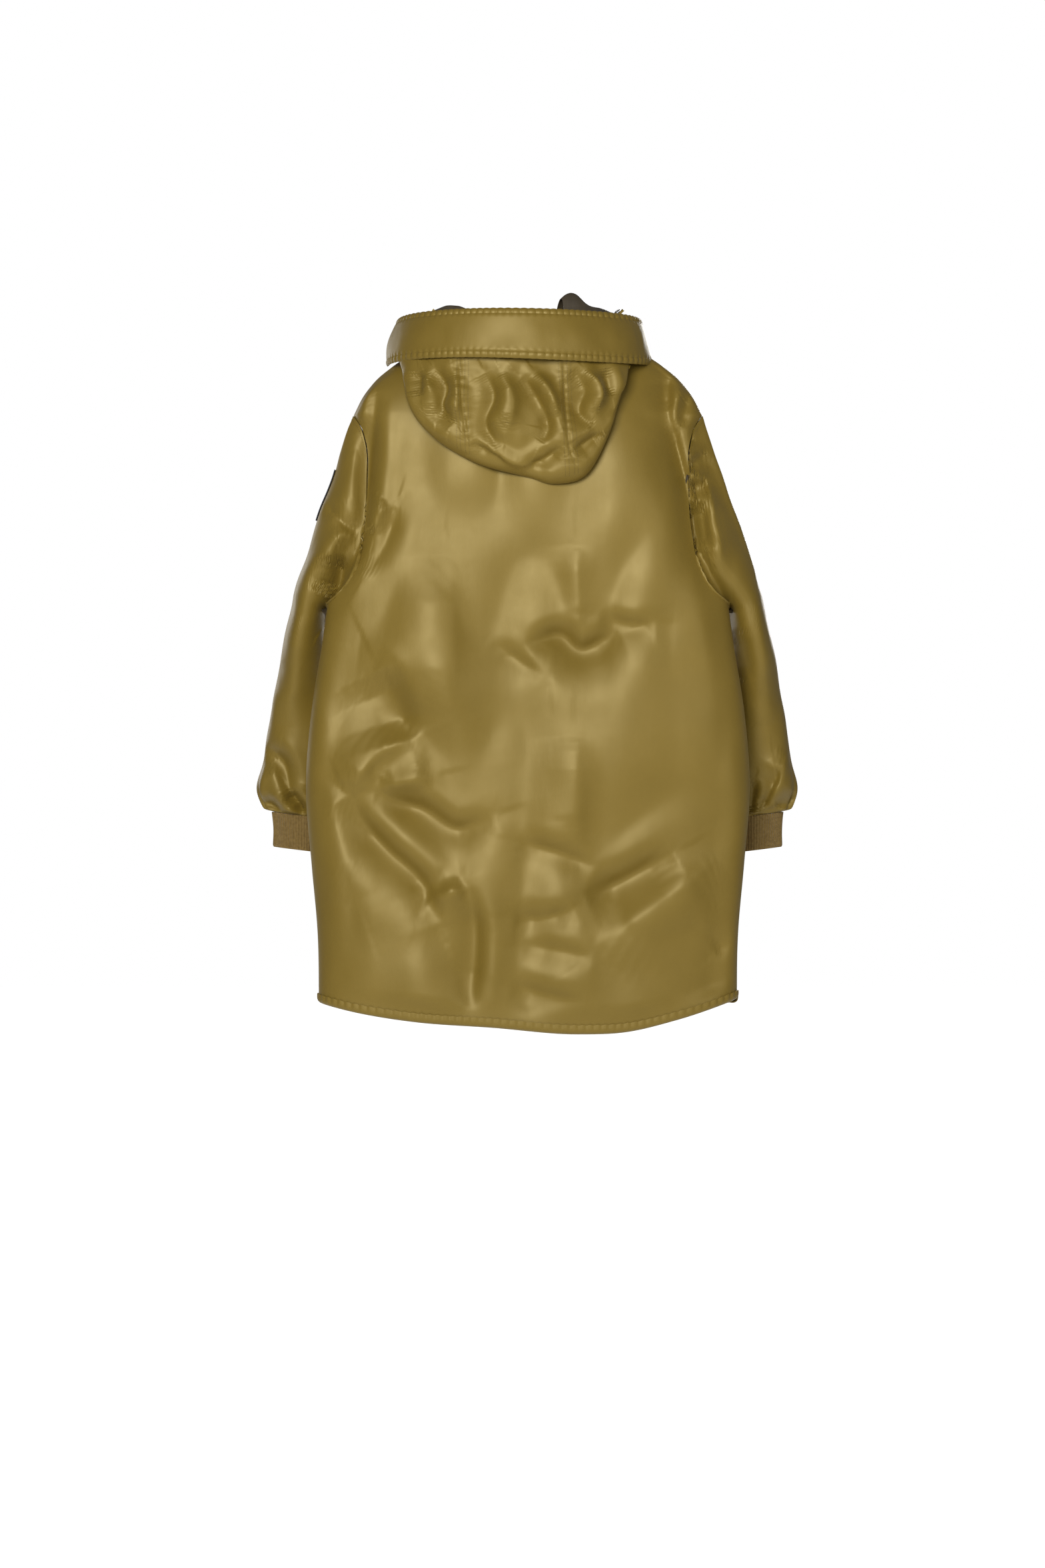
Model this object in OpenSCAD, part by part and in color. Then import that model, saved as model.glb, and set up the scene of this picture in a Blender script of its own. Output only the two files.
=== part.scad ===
// Hooded satin parka, zipped shut, as it hangs with its hood lying down the back.
// +Z is up, the front faces -Y and the wearer's left is +X.
// The origin is the middle of the neck opening, where a coat hanger's neck passes through it.

/* [Body] */
// Length from the side of the neck down to the side of the hem
side_len = 917; // [860:1:960]
// Extra drop of the hem at the middle of the back and the front
hem_drop = 38; // [10:1:60]
// Half width of the body at the hem
hem_half = 289; // [280:1:300]
// How much the body swells on each side at its widest
hip_swell = 18; // [10:1:24]
// Depth of the back behind the middle plane
back_depth = 90; // [80:1:100]
// Depth of the front ahead of the middle plane
front_depth = 82; // [80:1:84]
// How far the sides sweep towards the back
side_sweep = 30; // [26:1:34]
// Height of the bound hem
hem_band_h = 12; // [8:1:16]

/* [Neck and armholes] */
// Half width of the neck opening
neck_half = 88; // [84:1:92]
// Drop of the front neckline below the side of the neck
front_neck_drop = 99; // [90:1:110]
// Height of the drop-shoulder point, where the armhole begins
shoulder_z = -108; // [-112:1:-106]
// Height of the underarm
underarm_z = -368; // [-380:1:-360]

/* [Sleeves] */
// Distance of the wrist's middle from the middle plane
wrist_x = 321; // [318:1:330]
// How far the wrist hangs towards the front
wrist_y = -72; // [-80:1:-70]
// Height of the wrist, at the top of the rib cuff
wrist_z = -662; // [-670:1:-650]
// Half width of the wrist
wrist_half_w = 42; // [38:1:46]
// Half depth of the wrist
wrist_half_d = 24; // [20:1:28]
// Height of the rib-knit cuff
cuff_h = 48; // [40:1:56]
// Tilt of the wrist seam, whose outer end is the higher
cuff_tilt = 7; // [5:1:10]

/* [Hood] */
// Half width of the hood at its folded bottom
hood_half = 152; // [145:1:158]
// Height of the folded bottom behind the back
hood_bottom_z = -205; // [-215:1:-190]
// Height of the rim above the origin
rim_z = 20; // [14:1:26]
// Half width of the rim
rim_half = 160; // [156:1:164]
// Distance of the rim behind the middle plane
rim_back = 128; // [124:1:132]
// Height of the turned-back brim
brim_h = 56; // [50:1:62]
// Angle of each hood seam from the middle, seen from above
hood_seam = 26; // [20:1:32]

/* [Layers] */
// Thickness of the shell fabric
shell_t = 1.5; // [1:0.1:1.8]
// Thickness of the wadding of the body
wadding_t = 6; // [4:0.5:6.5]
// Thickness of the lining
lining_t = 1; // [0.8:0.1:1.2]

/* [Closures] */
// Height of the zip's top end
zip_top = -42; // [-46:1:-38]
// Height of the zip's bottom end
zip_bottom = -905; // [-905:1:-890]
// Spacing of the zip's teeth
tooth_pitch = 7.5; // [7:0.5:10]
// Width of the storm flap
flap_w = 62; // [56:1:64]
// Width of each pocket
pocket_w = 136; // [120:1:140]
// Height of each pocket
pocket_h = 190; // [170:1:200]
// Height of each pocket flap
pocket_flap_h = 62; // [50:1:70]
// Diameter of a snap cap
snap_d = 15; // [12:1:16]

/* [Hidden] */
layer_gap = 0.5;
wadding_off = shell_t + layer_gap;
lining_off = wadding_off + wadding_t + layer_gap;
sleeve_wadding_t = wadding_t - 2.5;
seam_gap = 0.3;
front_edge = 10;
arm_top_x = 241;
back_neck_z = -5;
side_neck_z = 4;
neck_ridge = 25;
back_soft = 80;
front_soft = 22;
zip_y = -80;
armhole_drop = shoulder_z - underarm_z;

// Top of the shoulder: distance from the middle, height.
SHOULDER = [
  [neck_half, side_neck_z], [120, -6], [155, -18], [190, -41], [215, -64], [231, -87],
  [arm_top_x, shoulder_z]
];

// Edge of the armhole: height, distance from the middle.
ARMHOLE = [
  [underarm_z, 277], [underarm_z + 18, 252], [underarm_z + 48, 234], [-275, 225], [-205, 221],
  [-143, 222], [-125, 228], [shoulder_z, arm_top_x]
];

// Side of the body, and the line it would follow above the underarm: height, distance.
BODY_SIDE = [
  [-side_len - hem_drop, hem_half], [-820, hem_half + 2], [-730, hem_half + hip_swell / 2],
  [-620, hem_half + hip_swell], [-515, hem_half + 11], [-420, hem_half - 6], [underarm_z, 277],
  [-250, 270], [shoulder_z, 252]
];

OLIVE = "#8f7a3c";
RIB = "#75602f";
TAFFETA = "#4a4030";
WADDING = "#e8e6de";
DARK_METAL = "#4b4a46";
TAPE = "#5d5228";
BLACK = "#1d1d1c";

// ---------- sheets and tubes ----------

function flat(rows) = [for (r = rows) each r];

// Two triangles for each cell of a grid whose first point is number base.
function grid_faces(base, rows, cols, wrap, out) = [
  for (r = [0 : rows - 2], c = [0 : cols - (wrap ? 1 : 2)])
    let (a = base + r * cols + c,
         b = base + r * cols + (c + 1) % cols,
         d = a + cols,
         e = b + cols)
    each (out ? [[a, d, e], [a, e, b]] : [[a, e, d], [a, b, e]])
];

// Two triangles for each step of an edge between two equal chains of point numbers.
function strip_faces(near, far, wrap) = [
  for (i = [0 : len(near) - (wrap ? 1 : 2)])
    let (j = (i + 1) % len(near))
    each [[near[i], far[i], far[j]], [near[i], far[j], near[j]]]
];

function chain(base, step, count) = [for (i = [0 : count - 1]) base + i * step];
function reversed(list) = [for (i = [len(list) - 1 : -1 : 0]) list[i]];

// A closed sheet of cloth between an outer and an inner grid of points.
module sheet(outer, inner) {
  rows = len(outer);
  cols = len(outer[0]);
  n = rows * cols;
  last = (rows - 1) * cols;
  polyhedron(
    points = concat(flat(outer), flat(inner)),
    faces = concat(
      grid_faces(0, rows, cols, false, true),
      grid_faces(n, rows, cols, false, false),
      strip_faces(reversed(chain(0, 1, cols)), reversed(chain(n, 1, cols)), false),
      strip_faces(chain(last, 1, cols), chain(n + last, 1, cols), false),
      strip_faces(chain(0, cols, rows), chain(n, cols, rows), false),
      strip_faces(reversed(chain(cols - 1, cols, rows)),
                  reversed(chain(n + cols - 1, cols, rows)), false)
    ),
    convexity = 8
  );
}

// A closed tube wall between outer and inner rings of points.
module tube_wall(outer, inner) {
  rows = len(outer);
  cols = len(outer[0]);
  n = rows * cols;
  last = (rows - 1) * cols;
  polyhedron(
    points = concat(flat(outer), flat(inner)),
    faces = concat(
      grid_faces(0, rows, cols, true, true),
      grid_faces(n, rows, cols, true, false),
      strip_faces(reversed(chain(0, 1, cols)), reversed(chain(n, 1, cols)), true),
      strip_faces(chain(last, 1, cols), chain(n + last, 1, cols), true)
    ),
    convexity = 8
  );
}

module on_right() {
  mirror([1, 0, 0]) children();
}

function mix(a, b, t) = a + (b - a) * t;

// ---------- torso surface ----------

function side_half(z) = lookup(z, BODY_SIDE);
function section(q) = pow(max(0, 1 - pow(min(1, abs(q)), 2.6)), 0.45);
function swell(h, soft) = pow(1 - exp(-max(0, h) / soft), 0.6);

// The ridge of the shoulders, which runs on over the neck opening.
function ridge(x) = abs(x) < neck_half
  ? side_neck_z + neck_ridge * (1 - pow(x / neck_half, 2))
  : lookup(abs(x), SHOULDER);

function back_top(x) = abs(x) < neck_half
  ? mix(back_neck_z, side_neck_z, pow(x / neck_half, 2))
  : ridge(x);

function front_top(x) = abs(x) < neck_half
  ? side_neck_z - front_neck_drop * (1 - pow(abs(x) / neck_half, 2.4))
  : ridge(x);

function hem_z(x) = -side_len - hem_drop * cos(90 * min(1, abs(x) / hem_half));

function edge_half(z, off) = z < underarm_z
  ? side_half(z) - off
  : min(lookup(z, ARMHOLE), side_half(z) - off);

function sweep_y(q) = side_sweep * q * q;

// Depth of the torso's surface at x and z, off millimetres inside the outer face.
function back_y(x, z, h, off) =
  let (q = min(1, abs(x) / (side_half(z) - off)))
  sweep_y(q) + (back_depth - off) * swell(h - off, back_soft) * section(q) + seam_gap;

function front_y(x, z, h, off) =
  let (q = min(1, abs(x) / (side_half(z) - off)),
       soft = front_soft + 50 * pow(min(1, abs(x) / arm_top_x), 2))
  sweep_y(q) - (front_depth - off) * swell(h - off, soft) * section(q) - seam_gap;

panel_cols = 7;
panel_rows = 16;
row_crowding = 1.7;
above_hem = hem_band_h + 0.4;
facing_cols = 1;
facing_gap = 1;

// One point of a back or front panel. s runs across it and v runs up it.
function torso_point(is_back, near, s, v, off, low, high) =
  let (top_x = mix(near, arm_top_x, abs(s)),
       bottom = hem_z(mix(near, hem_half, abs(s))),
       top = high > 0 ? bottom + high : (is_back ? back_top(top_x) : front_top(top_x)) - off,
       z = mix(bottom + low, top, v),
       x = mix(near, edge_half(z, off), abs(s)) * (s < 0 ? -1 : 1),
       h = ridge(top_x) - z)
  [x, is_back ? back_y(x, z, h, off) : front_y(x, z, h, off), z];

// A panel's grid. Its columns crowd towards the side and its rows towards the shoulder.
function torso_grid(is_back, near, off, low, high, cols, rows, from, to) = [
  for (r = [0 : rows])
    [for (c = concat([from], [for (i = [floor(from) + 1 : to]) i]))
      torso_point(is_back, near, sin(90 * c / cols), 1 - pow(1 - r / rows, row_crowding),
                  off, low, high)]
];

module torso_panel(is_back, near, off, thick, low, high, cols, rows, from, to) {
  face = torso_grid(is_back, near, off, low, high, cols, rows, from, to);
  inside = torso_grid(is_back, near, off + thick, low, high, cols, rows, from, to);
  if (is_back) sheet(inside, face);
  else sheet(face, inside);
}

module back_layer(off, thick) {
  torso_panel(true, 0, off, thick, above_hem, 0, panel_cols, panel_rows,
              -panel_cols, panel_cols);
}

module front_layer(off, thick, from, to) {
  torso_panel(false, front_edge, off, thick, above_hem, 0, panel_cols, panel_rows, from, to);
}

module back_shell() {
  color(OLIVE) back_layer(0, shell_t);
}

module back_wadding() {
  color(WADDING) back_layer(wadding_off, wadding_t);
}

module back_lining() {
  color(TAFFETA) back_layer(lining_off, lining_t);
}

module front_shell_left() {
  color(OLIVE) front_layer(0, shell_t, 0, panel_cols);
}

module front_wadding_left() {
  color(WADDING) front_layer(wadding_off, wadding_t, 0, panel_cols);
}

module front_facing_left() {
  color(OLIVE) front_layer(lining_off + facing_gap, lining_t, 0, facing_cols);
}

module front_lining_left() {
  color(TAFFETA) front_layer(lining_off + facing_gap, lining_t, facing_cols + 0.02, panel_cols);
}

module front_shell_right() {
  on_right() front_shell_left();
}

module front_wadding_right() {
  on_right() front_wadding_left();
}

module front_facing_right() {
  on_right() front_facing_left();
}

module front_lining_right() {
  on_right() front_lining_left();
}

hem_band_t = lining_off + lining_t + 0.5;

module hem_band_back() {
  color(OLIVE) torso_panel(true, 0, 0, hem_band_t, 0, hem_band_h, panel_cols, 1,
                           -panel_cols, panel_cols);
}

module hem_band_left() {
  color(OLIVE) torso_panel(false, front_edge, 0, hem_band_t, 0, hem_band_h, panel_cols, 1,
                           0, panel_cols);
}

module hem_band_right() {
  on_right() hem_band_left();
}

// ---------- sleeves ----------

ring_n = 16;
sleeve_rows = 12;
// The shell starts just outside the armhole's edge.
sleeve_start = 3.5;
// The padding and the lining start a row further down, clear of the body's edge.
inner_row = 1;
sleeve_layer_gap = 2;
// Turn that parts the back and the front of a sleeve along its two seams.
sleeve_parting = 0.3;
// Fullness of the sleeve's outer side, and how far down it is reached.
outer_full = 30;
outer_full_at = 0.45;
// Depth below the underarm by which the sleeve has left the armhole.
leave_drop = 10;
wrist_outer_z = wrist_z + wrist_half_w * sin(cuff_tilt);

// The hanging sleeve's inner side, its middle from front to back, and its half depth.
// Each point is a height and a distance. Below the hip it hangs in front of the body's edge.
SLEEVE_INNER = [
  [wrist_z, wrist_x - wrist_half_w], [-600, 270], [-540, 270], [-460, 282], [-400, 285],
  [underarm_z, 282]
];
SLEEVE_MID_Y = [[wrist_z, wrist_y], [-600, -66], [-500, -52], [-400, -16], [-240, 8]];
SLEEVE_HALF_D = [[wrist_z, wrist_half_d], [-600, 34], [-500, 45], [-400, 52], [-240, 54]];

// The armhole seam. The angle runs from the shoulder over the back to the underarm.
function armhole_point(angle) =
  let (z = shoulder_z - 1 - (armhole_drop - 2) * (1 - cos(angle)) / 2,
       x = edge_half(z, 0),
       h = shoulder_z - z)
  [x, angle <= 180 ? back_y(x, z, h, 0) : front_y(x, z, h, 0), z];

function wrist_point(angle, off) =
  let (u = (wrist_half_w - off) * cos(angle))
  [wrist_x + u * cos(cuff_tilt),
   wrist_y + (wrist_half_d - off) * sin(angle),
   wrist_z + u * sin(cuff_tilt)];

// Outer side of the hanging sleeve at a height.
function sleeve_outer(z) =
  let (g = min(1, max(0, (shoulder_z - z) / (shoulder_z - wrist_outer_z))))
  mix(arm_top_x + sleeve_start, wrist_point(0, 0)[0], g)
    + outer_full * min(1, g / outer_full_at) * (1 - pow(g, 12));

function ease(from, to, z) =
  let (t = min(1, max(0, (z - from) / (to - from))))
  t * t * (3 - 2 * t);

// Level ring of the hanging sleeve.
function level_ring(angle, z) =
  let (outer = sleeve_outer(z),
       inner = lookup(z, SLEEVE_INNER))
  [(outer + inner) / 2 + (outer - inner) / 2 * cos(angle),
   lookup(z, SLEEVE_MID_Y) + lookup(z, SLEEVE_HALF_D) * sin(angle),
   z];

// Point of the sleeve's outer face, g of the way down from the armhole to the wrist.
// It turns from the armhole's ring into the level ring by the time it passes the underarm.
function sleeve_face(g, turn) =
  let (angle = (turn + 360) % 360,
       start = armhole_point(angle) + [sleeve_start, 0, 0],
       z = mix(start[2], wrist_point(angle, 0)[2], g),
       out = (sleeve_outer(z) - sleeve_outer(start[2])) * pow(max(0, cos(angle)), 0.7),
       left = ease(start[2], underarm_z - leave_drop, z))
  mix([start[0] + out, start[1], z], level_ring(angle, z), left);

// Outward direction of the sleeve's face, from its slopes down and round it.
function sleeve_normal(g, angle) =
  let (down = sleeve_face(min(1, g + 0.01), angle) - sleeve_face(max(0, g - 0.01), angle),
       round = sleeve_face(g, angle + 1) - sleeve_face(g, angle - 1),
       out = cross(down, round))
  out / norm(out);

function sleeve_point(g, angle, off) = sleeve_face(g, angle) - off * sleeve_normal(g, angle);

// Grid of a sleeve layer from its first row down to the wrist.
function sleeve_grid(first, angles, off) = [
  for (r = [first : sleeve_rows])
    [for (angle = angles) sleeve_point(r / sleeve_rows, angle, off)]
];

ring_angles = [for (i = [0 : ring_n - 1]) 360 * i / ring_n];
back_angles = [for (i = [0 : ring_n / 2])
  mix(sleeve_parting, 180 - sleeve_parting, 2 * i / ring_n)];

module sleeve_half(angles) {
  sheet(sleeve_grid(0, angles, shell_t), sleeve_grid(0, angles, 0));
}

module sleeve_layer(off, thick) {
  tube_wall(sleeve_grid(inner_row, ring_angles, off + thick),
            sleeve_grid(inner_row, ring_angles, off));
}

module sleeve_back_left() {
  color(OLIVE) sleeve_half(back_angles);
}

module sleeve_front_left() {
  color(OLIVE) sleeve_half([for (angle = back_angles) angle + 180]);
}

module sleeve_wadding_left() {
  color(WADDING) sleeve_layer(shell_t + sleeve_layer_gap, sleeve_wadding_t);
}

module sleeve_lining_left() {
  color(TAFFETA) sleeve_layer(shell_t + sleeve_wadding_t + 2 * sleeve_layer_gap, lining_t);
}

module sleeve_back_right() {
  on_right() sleeve_back_left();
}

module sleeve_front_right() {
  on_right() sleeve_front_left();
}

module sleeve_wadding_right() {
  on_right() sleeve_wadding_left();
}

module sleeve_lining_right() {
  on_right() sleeve_lining_left();
}

cuff_wall = 4;
cuff_gap = 1;
cuff_inset = 1.5;
// How much the knit draws in on its way down.
cuff_draw = 2.4;

function cuff_ring(share, off) = [
  for (angle = ring_angles)
    wrist_point(angle, off + cuff_inset + cuff_draw * share) - [0, 0, cuff_gap + cuff_h * share]
];

function cuff_rings(off) = [for (share = [0, 0.5, 1]) cuff_ring(share, off)];

module rib_cuff_left() {
  color(RIB) tube_wall(cuff_rings(cuff_wall), cuff_rings(0));
}

module rib_cuff_right() {
  on_right() rib_cuff_left();
}

// The label follows the cloth from the sleeve's outer line towards the front.
label_top_z = -183;
label_h = 70;
label_front = -50;
label_back = 2;
label_gap = 1.2;
label_t = 1.2;
label_rows = 4;
label_cols = 6;

// Point at a turn and a height, lifted off the sleeve's outer face.
function on_sleeve(angle, z, lift) =
  let (start = armhole_point((angle + 360) % 360)[2])
  sleeve_point((start - z) / (start - wrist_point(angle, 0)[2]), angle, -lift);

function label_grid(lift) = [
  for (r = [0 : label_rows])
    [for (c = [0 : label_cols])
      on_sleeve(mix(label_front, label_back, c / label_cols), label_top_z - label_h * r / label_rows, lift)]
];

module sleeve_label() {
  color(BLACK) sheet(label_grid(label_gap), label_grid(label_gap + label_t));
}

// ---------- hood ----------

hood_end = 84;
hood_clear = 3;
hood_fold = 26;
hood_bulge = 8;
hood_side_drop = 16;
hood_leg = 6;
hood_wall = 1.5;
hood_cols = 6;
hood_parting = 0.3;
hood_lining_off = hood_wall + 1;

// A point that lies on the torso's back at x and h below the ridge, lifted off it.
function on_back(x, h, lift) =
  let (turn = 90 * exp(-h / 40),
       z = ridge(x) - h)
  [x, back_y(x, z, h, 0) + lift * cos(turn), z + lift * sin(turn)];

function fold_x(angle) = hood_half * sin(angle);
function fold_h(angle) =
  ridge(fold_x(angle)) - hood_bottom_z * cos(angle) + hood_side_drop * abs(sin(angle));

// The leg of the hood that lies against the back, from the neck seam to the fold.
function hood_inner(angle, t, off) =
  let (neck_x = neck_half * sin(angle),
       neck_h = ridge(neck_x) - back_top(neck_x) + 2)
  on_back(mix(neck_x, fold_x(angle), t), mix(neck_h, fold_h(angle), t), hood_clear + off);

function rim_point(angle) = [rim_half * sin(angle), rim_back * cos(angle), rim_z];

// The leg that comes back up from the fold to the rim.
function hood_outer(angle, t, off) =
  let (foot = hood_inner(angle, 1, 0) + [0, hood_fold, 0])
  mix(foot, rim_point(angle), t)
    + [0, hood_bulge * sin(180 * t) * cos(angle), 0]
    - off * [0.6 * sin(angle), cos(angle * 0.9), 0];

function hood_rows(angle, off) = concat(
  [for (i = [0 : hood_leg]) hood_inner(angle, i / hood_leg, off) + [0, 0, off * i / hood_leg]],
  [for (i = [0 : hood_leg])
    hood_outer(angle, i / hood_leg, off) + [0, 0, off * (1 - i / hood_leg)]]
);

function hood_grid(angles, off) = [for (angle = angles) hood_rows(angle, off)];

module hood_panel(angles, off, thick) {
  sheet(hood_grid(angles, off), hood_grid(angles, off + thick));
}

function angles_between(from, to) = [for (c = [0 : hood_cols]) mix(from, to, c / hood_cols)];
center_angles = angles_between(-hood_seam, hood_seam);
side_angles = angles_between(hood_seam + hood_parting, hood_end);
brim_angles = concat(-reversed(side_angles), center_angles, side_angles);

module hood_center_panel() {
  color(OLIVE) hood_panel(center_angles, 0, hood_wall);
}

module hood_side_left() {
  color(OLIVE) hood_panel(side_angles, 0, hood_wall);
}

module hood_side_right() {
  on_right() hood_side_left();
}

module hood_lining_center() {
  color(TAFFETA) hood_panel(center_angles, hood_lining_off, lining_t);
}

module hood_lining_left() {
  color(TAFFETA) hood_panel(side_angles, hood_lining_off, lining_t);
}

module hood_lining_right() {
  on_right() hood_lining_left();
}

brim_t = 3;
brim_clear = 2.5;
brim_rise = 2;
brim_share = 0.8;

// The brim hangs outside the leg, and is shorter where it rises over the shoulders.
function brim_point(angle, t, off) =
  let (leg_h = rim_z - hood_inner(angle, 1, 0)[2],
       drop = min(brim_h, brim_share * leg_h) * t)
  hood_outer(angle, 1 - drop / leg_h, 0)
    + (brim_clear + off) * [sin(angle), cos(angle), 0] + [0, 0, brim_rise * (1 - t)];

function brim_grid(off) = [
  for (angle = brim_angles) [for (t = [0, 0.5, 1]) brim_point(angle, t, off)]
];

module hood_brim() {
  color(OLIVE) sheet(brim_grid(0), brim_grid(brim_t));
}

// ---------- collar, neck tape and loop ----------

collar_end = 96;
collar_cols = 8;
collar_gap = 9;
collar_side_h = 34;
collar_front_h = 55;
collar_flare = 0.5;
collar_roll = 10;
collar_t = 3;
collar_lining_off = 3.6;

// The standing collar goes from the side of the neck to the zip.
function collar_point(angle, t, off) =
  let (x = max(front_edge, neck_half * sin(angle)),
       top = front_top(x),
       y = front_y(x, top, ridge(x) - top, 0),
       lean = 1 + collar_flare * t * pow(sin(angle), 2),
       height = mix(collar_side_h, collar_front_h, (angle - collar_end) / (180 - collar_end)))
  [x * lean - off * sin(angle),
   y + off * max(0, -cos(angle)) - collar_roll * t * sin(angle),
   top + collar_gap + height * t];

function collar_grid(off) = [
  for (c = [0 : collar_cols])
    [for (t = [0, 0.5, 1]) collar_point(mix(collar_end, 180, c / collar_cols), t, off)]
];

module collar_left() {
  color(OLIVE) sheet(collar_grid(0), collar_grid(collar_t));
}

module collar_right() {
  on_right() collar_left();
}

module collar_lining_left() {
  color(TAFFETA) sheet(collar_grid(collar_lining_off), collar_grid(collar_lining_off + lining_t));
}

module collar_lining_right() {
  on_right() collar_lining_left();
}

tape_h = 14;
tape_t = 1.2;

// Narrow tape inside the back neck, under the seam.
function neck_tape_point(x, t, off) =
  let (z = back_neck_z - lining_off - 2 - tape_h * t)
  [x, back_y(x, z, ridge(x) - z, lining_off + lining_t) - 3 - off, z];

function neck_tape_grid(off) = [
  for (c = [-4 : 4]) [for (t = [0, 1]) neck_tape_point(12 * c, t, off)]
];

module neck_tape() {
  color(TAPE) sheet(neck_tape_grid(tape_t), neck_tape_grid(0));
}

loop_r = 24;
loop_w = 5;
loop_t = 1.2;

// Half ring of ribbon below the tape's middle.
module hanger_loop() {
  low = neck_tape_point(0, 1, tape_t);
  color(TAPE)
    translate([0, low[1] - 7, low[2] + tape_h - 2])
      rotate([90, 0, 0])
        difference() {
          cylinder(r = loop_r, h = loop_w, $fn = 48);
          translate([0, 0, -1]) cylinder(r = loop_r - loop_t, h = loop_w + 2, $fn = 48);
          translate([-loop_r - 1, 0, -1]) cube([2 * loop_r + 2, loop_r + 1, loop_w + 2]);
        }
}

// ---------- zip ----------

tooth = [4, 3, 2.6];
teeth_gap = 1;
tape_x = teeth_gap + tooth[0] + 0.1;
tape_w = front_edge - 0.4 - tape_x;
stop_h = 3;

module zip_tape_left() {
  color(TAPE)
    translate([tape_x, zip_y - 0.4, zip_bottom])
      cube([tape_w, 0.8, zip_top - zip_bottom]);
}

module zip_tape_right() {
  on_right() zip_tape_left();
}

module zip_teeth_left() {
  count = floor((zip_top - zip_bottom - 34) / tooth_pitch);
  color(DARK_METAL)
    for (i = [0 : count])
      translate([teeth_gap, zip_y - tooth[1] / 2, zip_bottom + 18 + i * tooth_pitch])
        cube(tooth);
}

// The right row sits half a step higher, as meshed teeth do.
module zip_teeth_right() {
  translate([0, 0, tooth_pitch / 2]) on_right() zip_teeth_left();
}

module zip_top_stops() {
  color(DARK_METAL)
    for (side = [0, 1])
      mirror([side, 0, 0])
        translate([teeth_gap, zip_y - tooth[1] / 2, zip_top - stop_h])
          cube([tooth[0], tooth[1], stop_h]);
}

// Retaining box on the left tape, and the pin that slides into it.
module zip_bottom_box() {
  color(DARK_METAL) {
    difference() {
      translate([-4.8, zip_y - 2.5, zip_bottom]) cube([9.6, 5, 13]);
      translate([-3.2, zip_y - 1.2, zip_bottom + 2]) cube([2.4, 2.4, 12]);
    }
    translate([-2.9, zip_y - 0.9, zip_bottom + 2.3]) cube([1.8, 1.8, 14]);
  }
}

slider_w = 13;
slider_l = 15;
slider_z = zip_top - 22;
plate_t = 1.6;
bail_y = zip_y - 5.9;
bail_r = 0.8;

module slider_plate(y) {
  translate([0, y + plate_t, slider_z])
    rotate([90, 0, 0])
      linear_extrude(plate_t)
        polygon([
          [-slider_w / 2, slider_l], [-slider_w / 2 + 2, 0], [slider_w / 2 - 2, 0],
          [slider_w / 2, slider_l]
        ]);
}

// Two plates joined by a thin post between the tooth rows, with a bail for the pull.
module zip_slider() {
  color(DARK_METAL) {
    slider_plate(zip_y - 1.9 - plate_t);
    slider_plate(zip_y + 1.9);
    translate([-0.5, zip_y - 2.5, slider_z + 5]) cube([1, 5, 6]);
    for (side = [-1, 1])
      translate([side * 3.4 - 0.6, bail_y - bail_r, slider_z + 6.5])
        cube([1.2, zip_y - 1.9 - bail_y, 3]);
    translate([-3.4, bail_y, slider_z + 8])
      rotate([0, 90, 0]) cylinder(r = bail_r, h = 6.8, $fn = 32);
  }
}

pull_l = 30;
pull_w = 5;

// Flat tab that swings on the slider's bail.
module zip_pull() {
  color(DARK_METAL)
    translate([0, bail_y, slider_z + 8])
      rotate([0, 90, 0])
        difference() {
          union() {
            cylinder(r = 2, h = pull_w, center = true, $fn = 32);
            translate([0, -0.7, -pull_w / 2]) cube([pull_l - 2, 1.4, pull_w]);
          }
          cylinder(r = bail_r + 0.3, h = pull_w + 2, center = true, $fn = 32);
        }
}

// ---------- storm flap ----------

flap_top = -108;
flap_bottom = -900;
flap_hinge = [33, -87];
flap_face = -92.5;
flap_t = 4;
snap_rows = 6;
snap_x = -22;

function storm_snap_z(i) = mix(flap_top - 30, flap_bottom + 50, i / (snap_rows - 1));

module storm_flap() {
  color(OLIVE)
    translate([0, 0, flap_bottom])
      linear_extrude(flap_top - flap_bottom)
        union() {
          translate(flap_hinge) circle(r = 3.4, $fn = 32);
          polygon([
            [flap_hinge[0] - 2.4, flap_hinge[1] - 2], [flap_hinge[0] + 2.4, flap_hinge[1] - 2],
            [flap_hinge[0] + 1, flap_face - flap_t + 1], [flap_hinge[0] - 3, flap_face - flap_t],
            [flap_hinge[0] - flap_w, flap_face - flap_t], [flap_hinge[0] - flap_w, flap_face],
            [flap_hinge[0] - 5, flap_face]
          ]);
        }
}

module disc_at(x, y, z, d, h) {
  translate([x, y, z]) rotate([90, 0, 0]) cylinder(d = d, h = h, $fn = 40);
}

module storm_snap_caps() {
  color(DARK_METAL)
    for (i = [0 : snap_rows - 1])
      disc_at(snap_x, flap_face - flap_t - 0.1, storm_snap_z(i), snap_d, 2.2);
}

module storm_snap_sockets() {
  color(DARK_METAL)
    for (i = [0 : snap_rows - 1])
      disc_at(snap_x, flap_face + 3.6, storm_snap_z(i), snap_d - 3, 3.5);
}

module storm_snap_studs() {
  color(DARK_METAL)
    for (i = [0 : snap_rows - 1]) {
      disc_at(snap_x, -82.6, storm_snap_z(i), snap_d - 3, 1.6);
      disc_at(snap_x, -84, storm_snap_z(i), 6, 4.5);
    }
}

// ---------- pockets ----------

pocket_mid = [145, -71];
pocket_turn = 12;
pocket_top = -552;
pocket_t = 20;
pocket_wall = 2;
pocket_flap_gap = 4;
pocket_flap_t = 4;
pocket_hinge_z = pocket_top + 7;
pocket_snap_x = 45;
pocket_snap_z = pocket_hinge_z - pocket_flap_h + 16;

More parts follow.
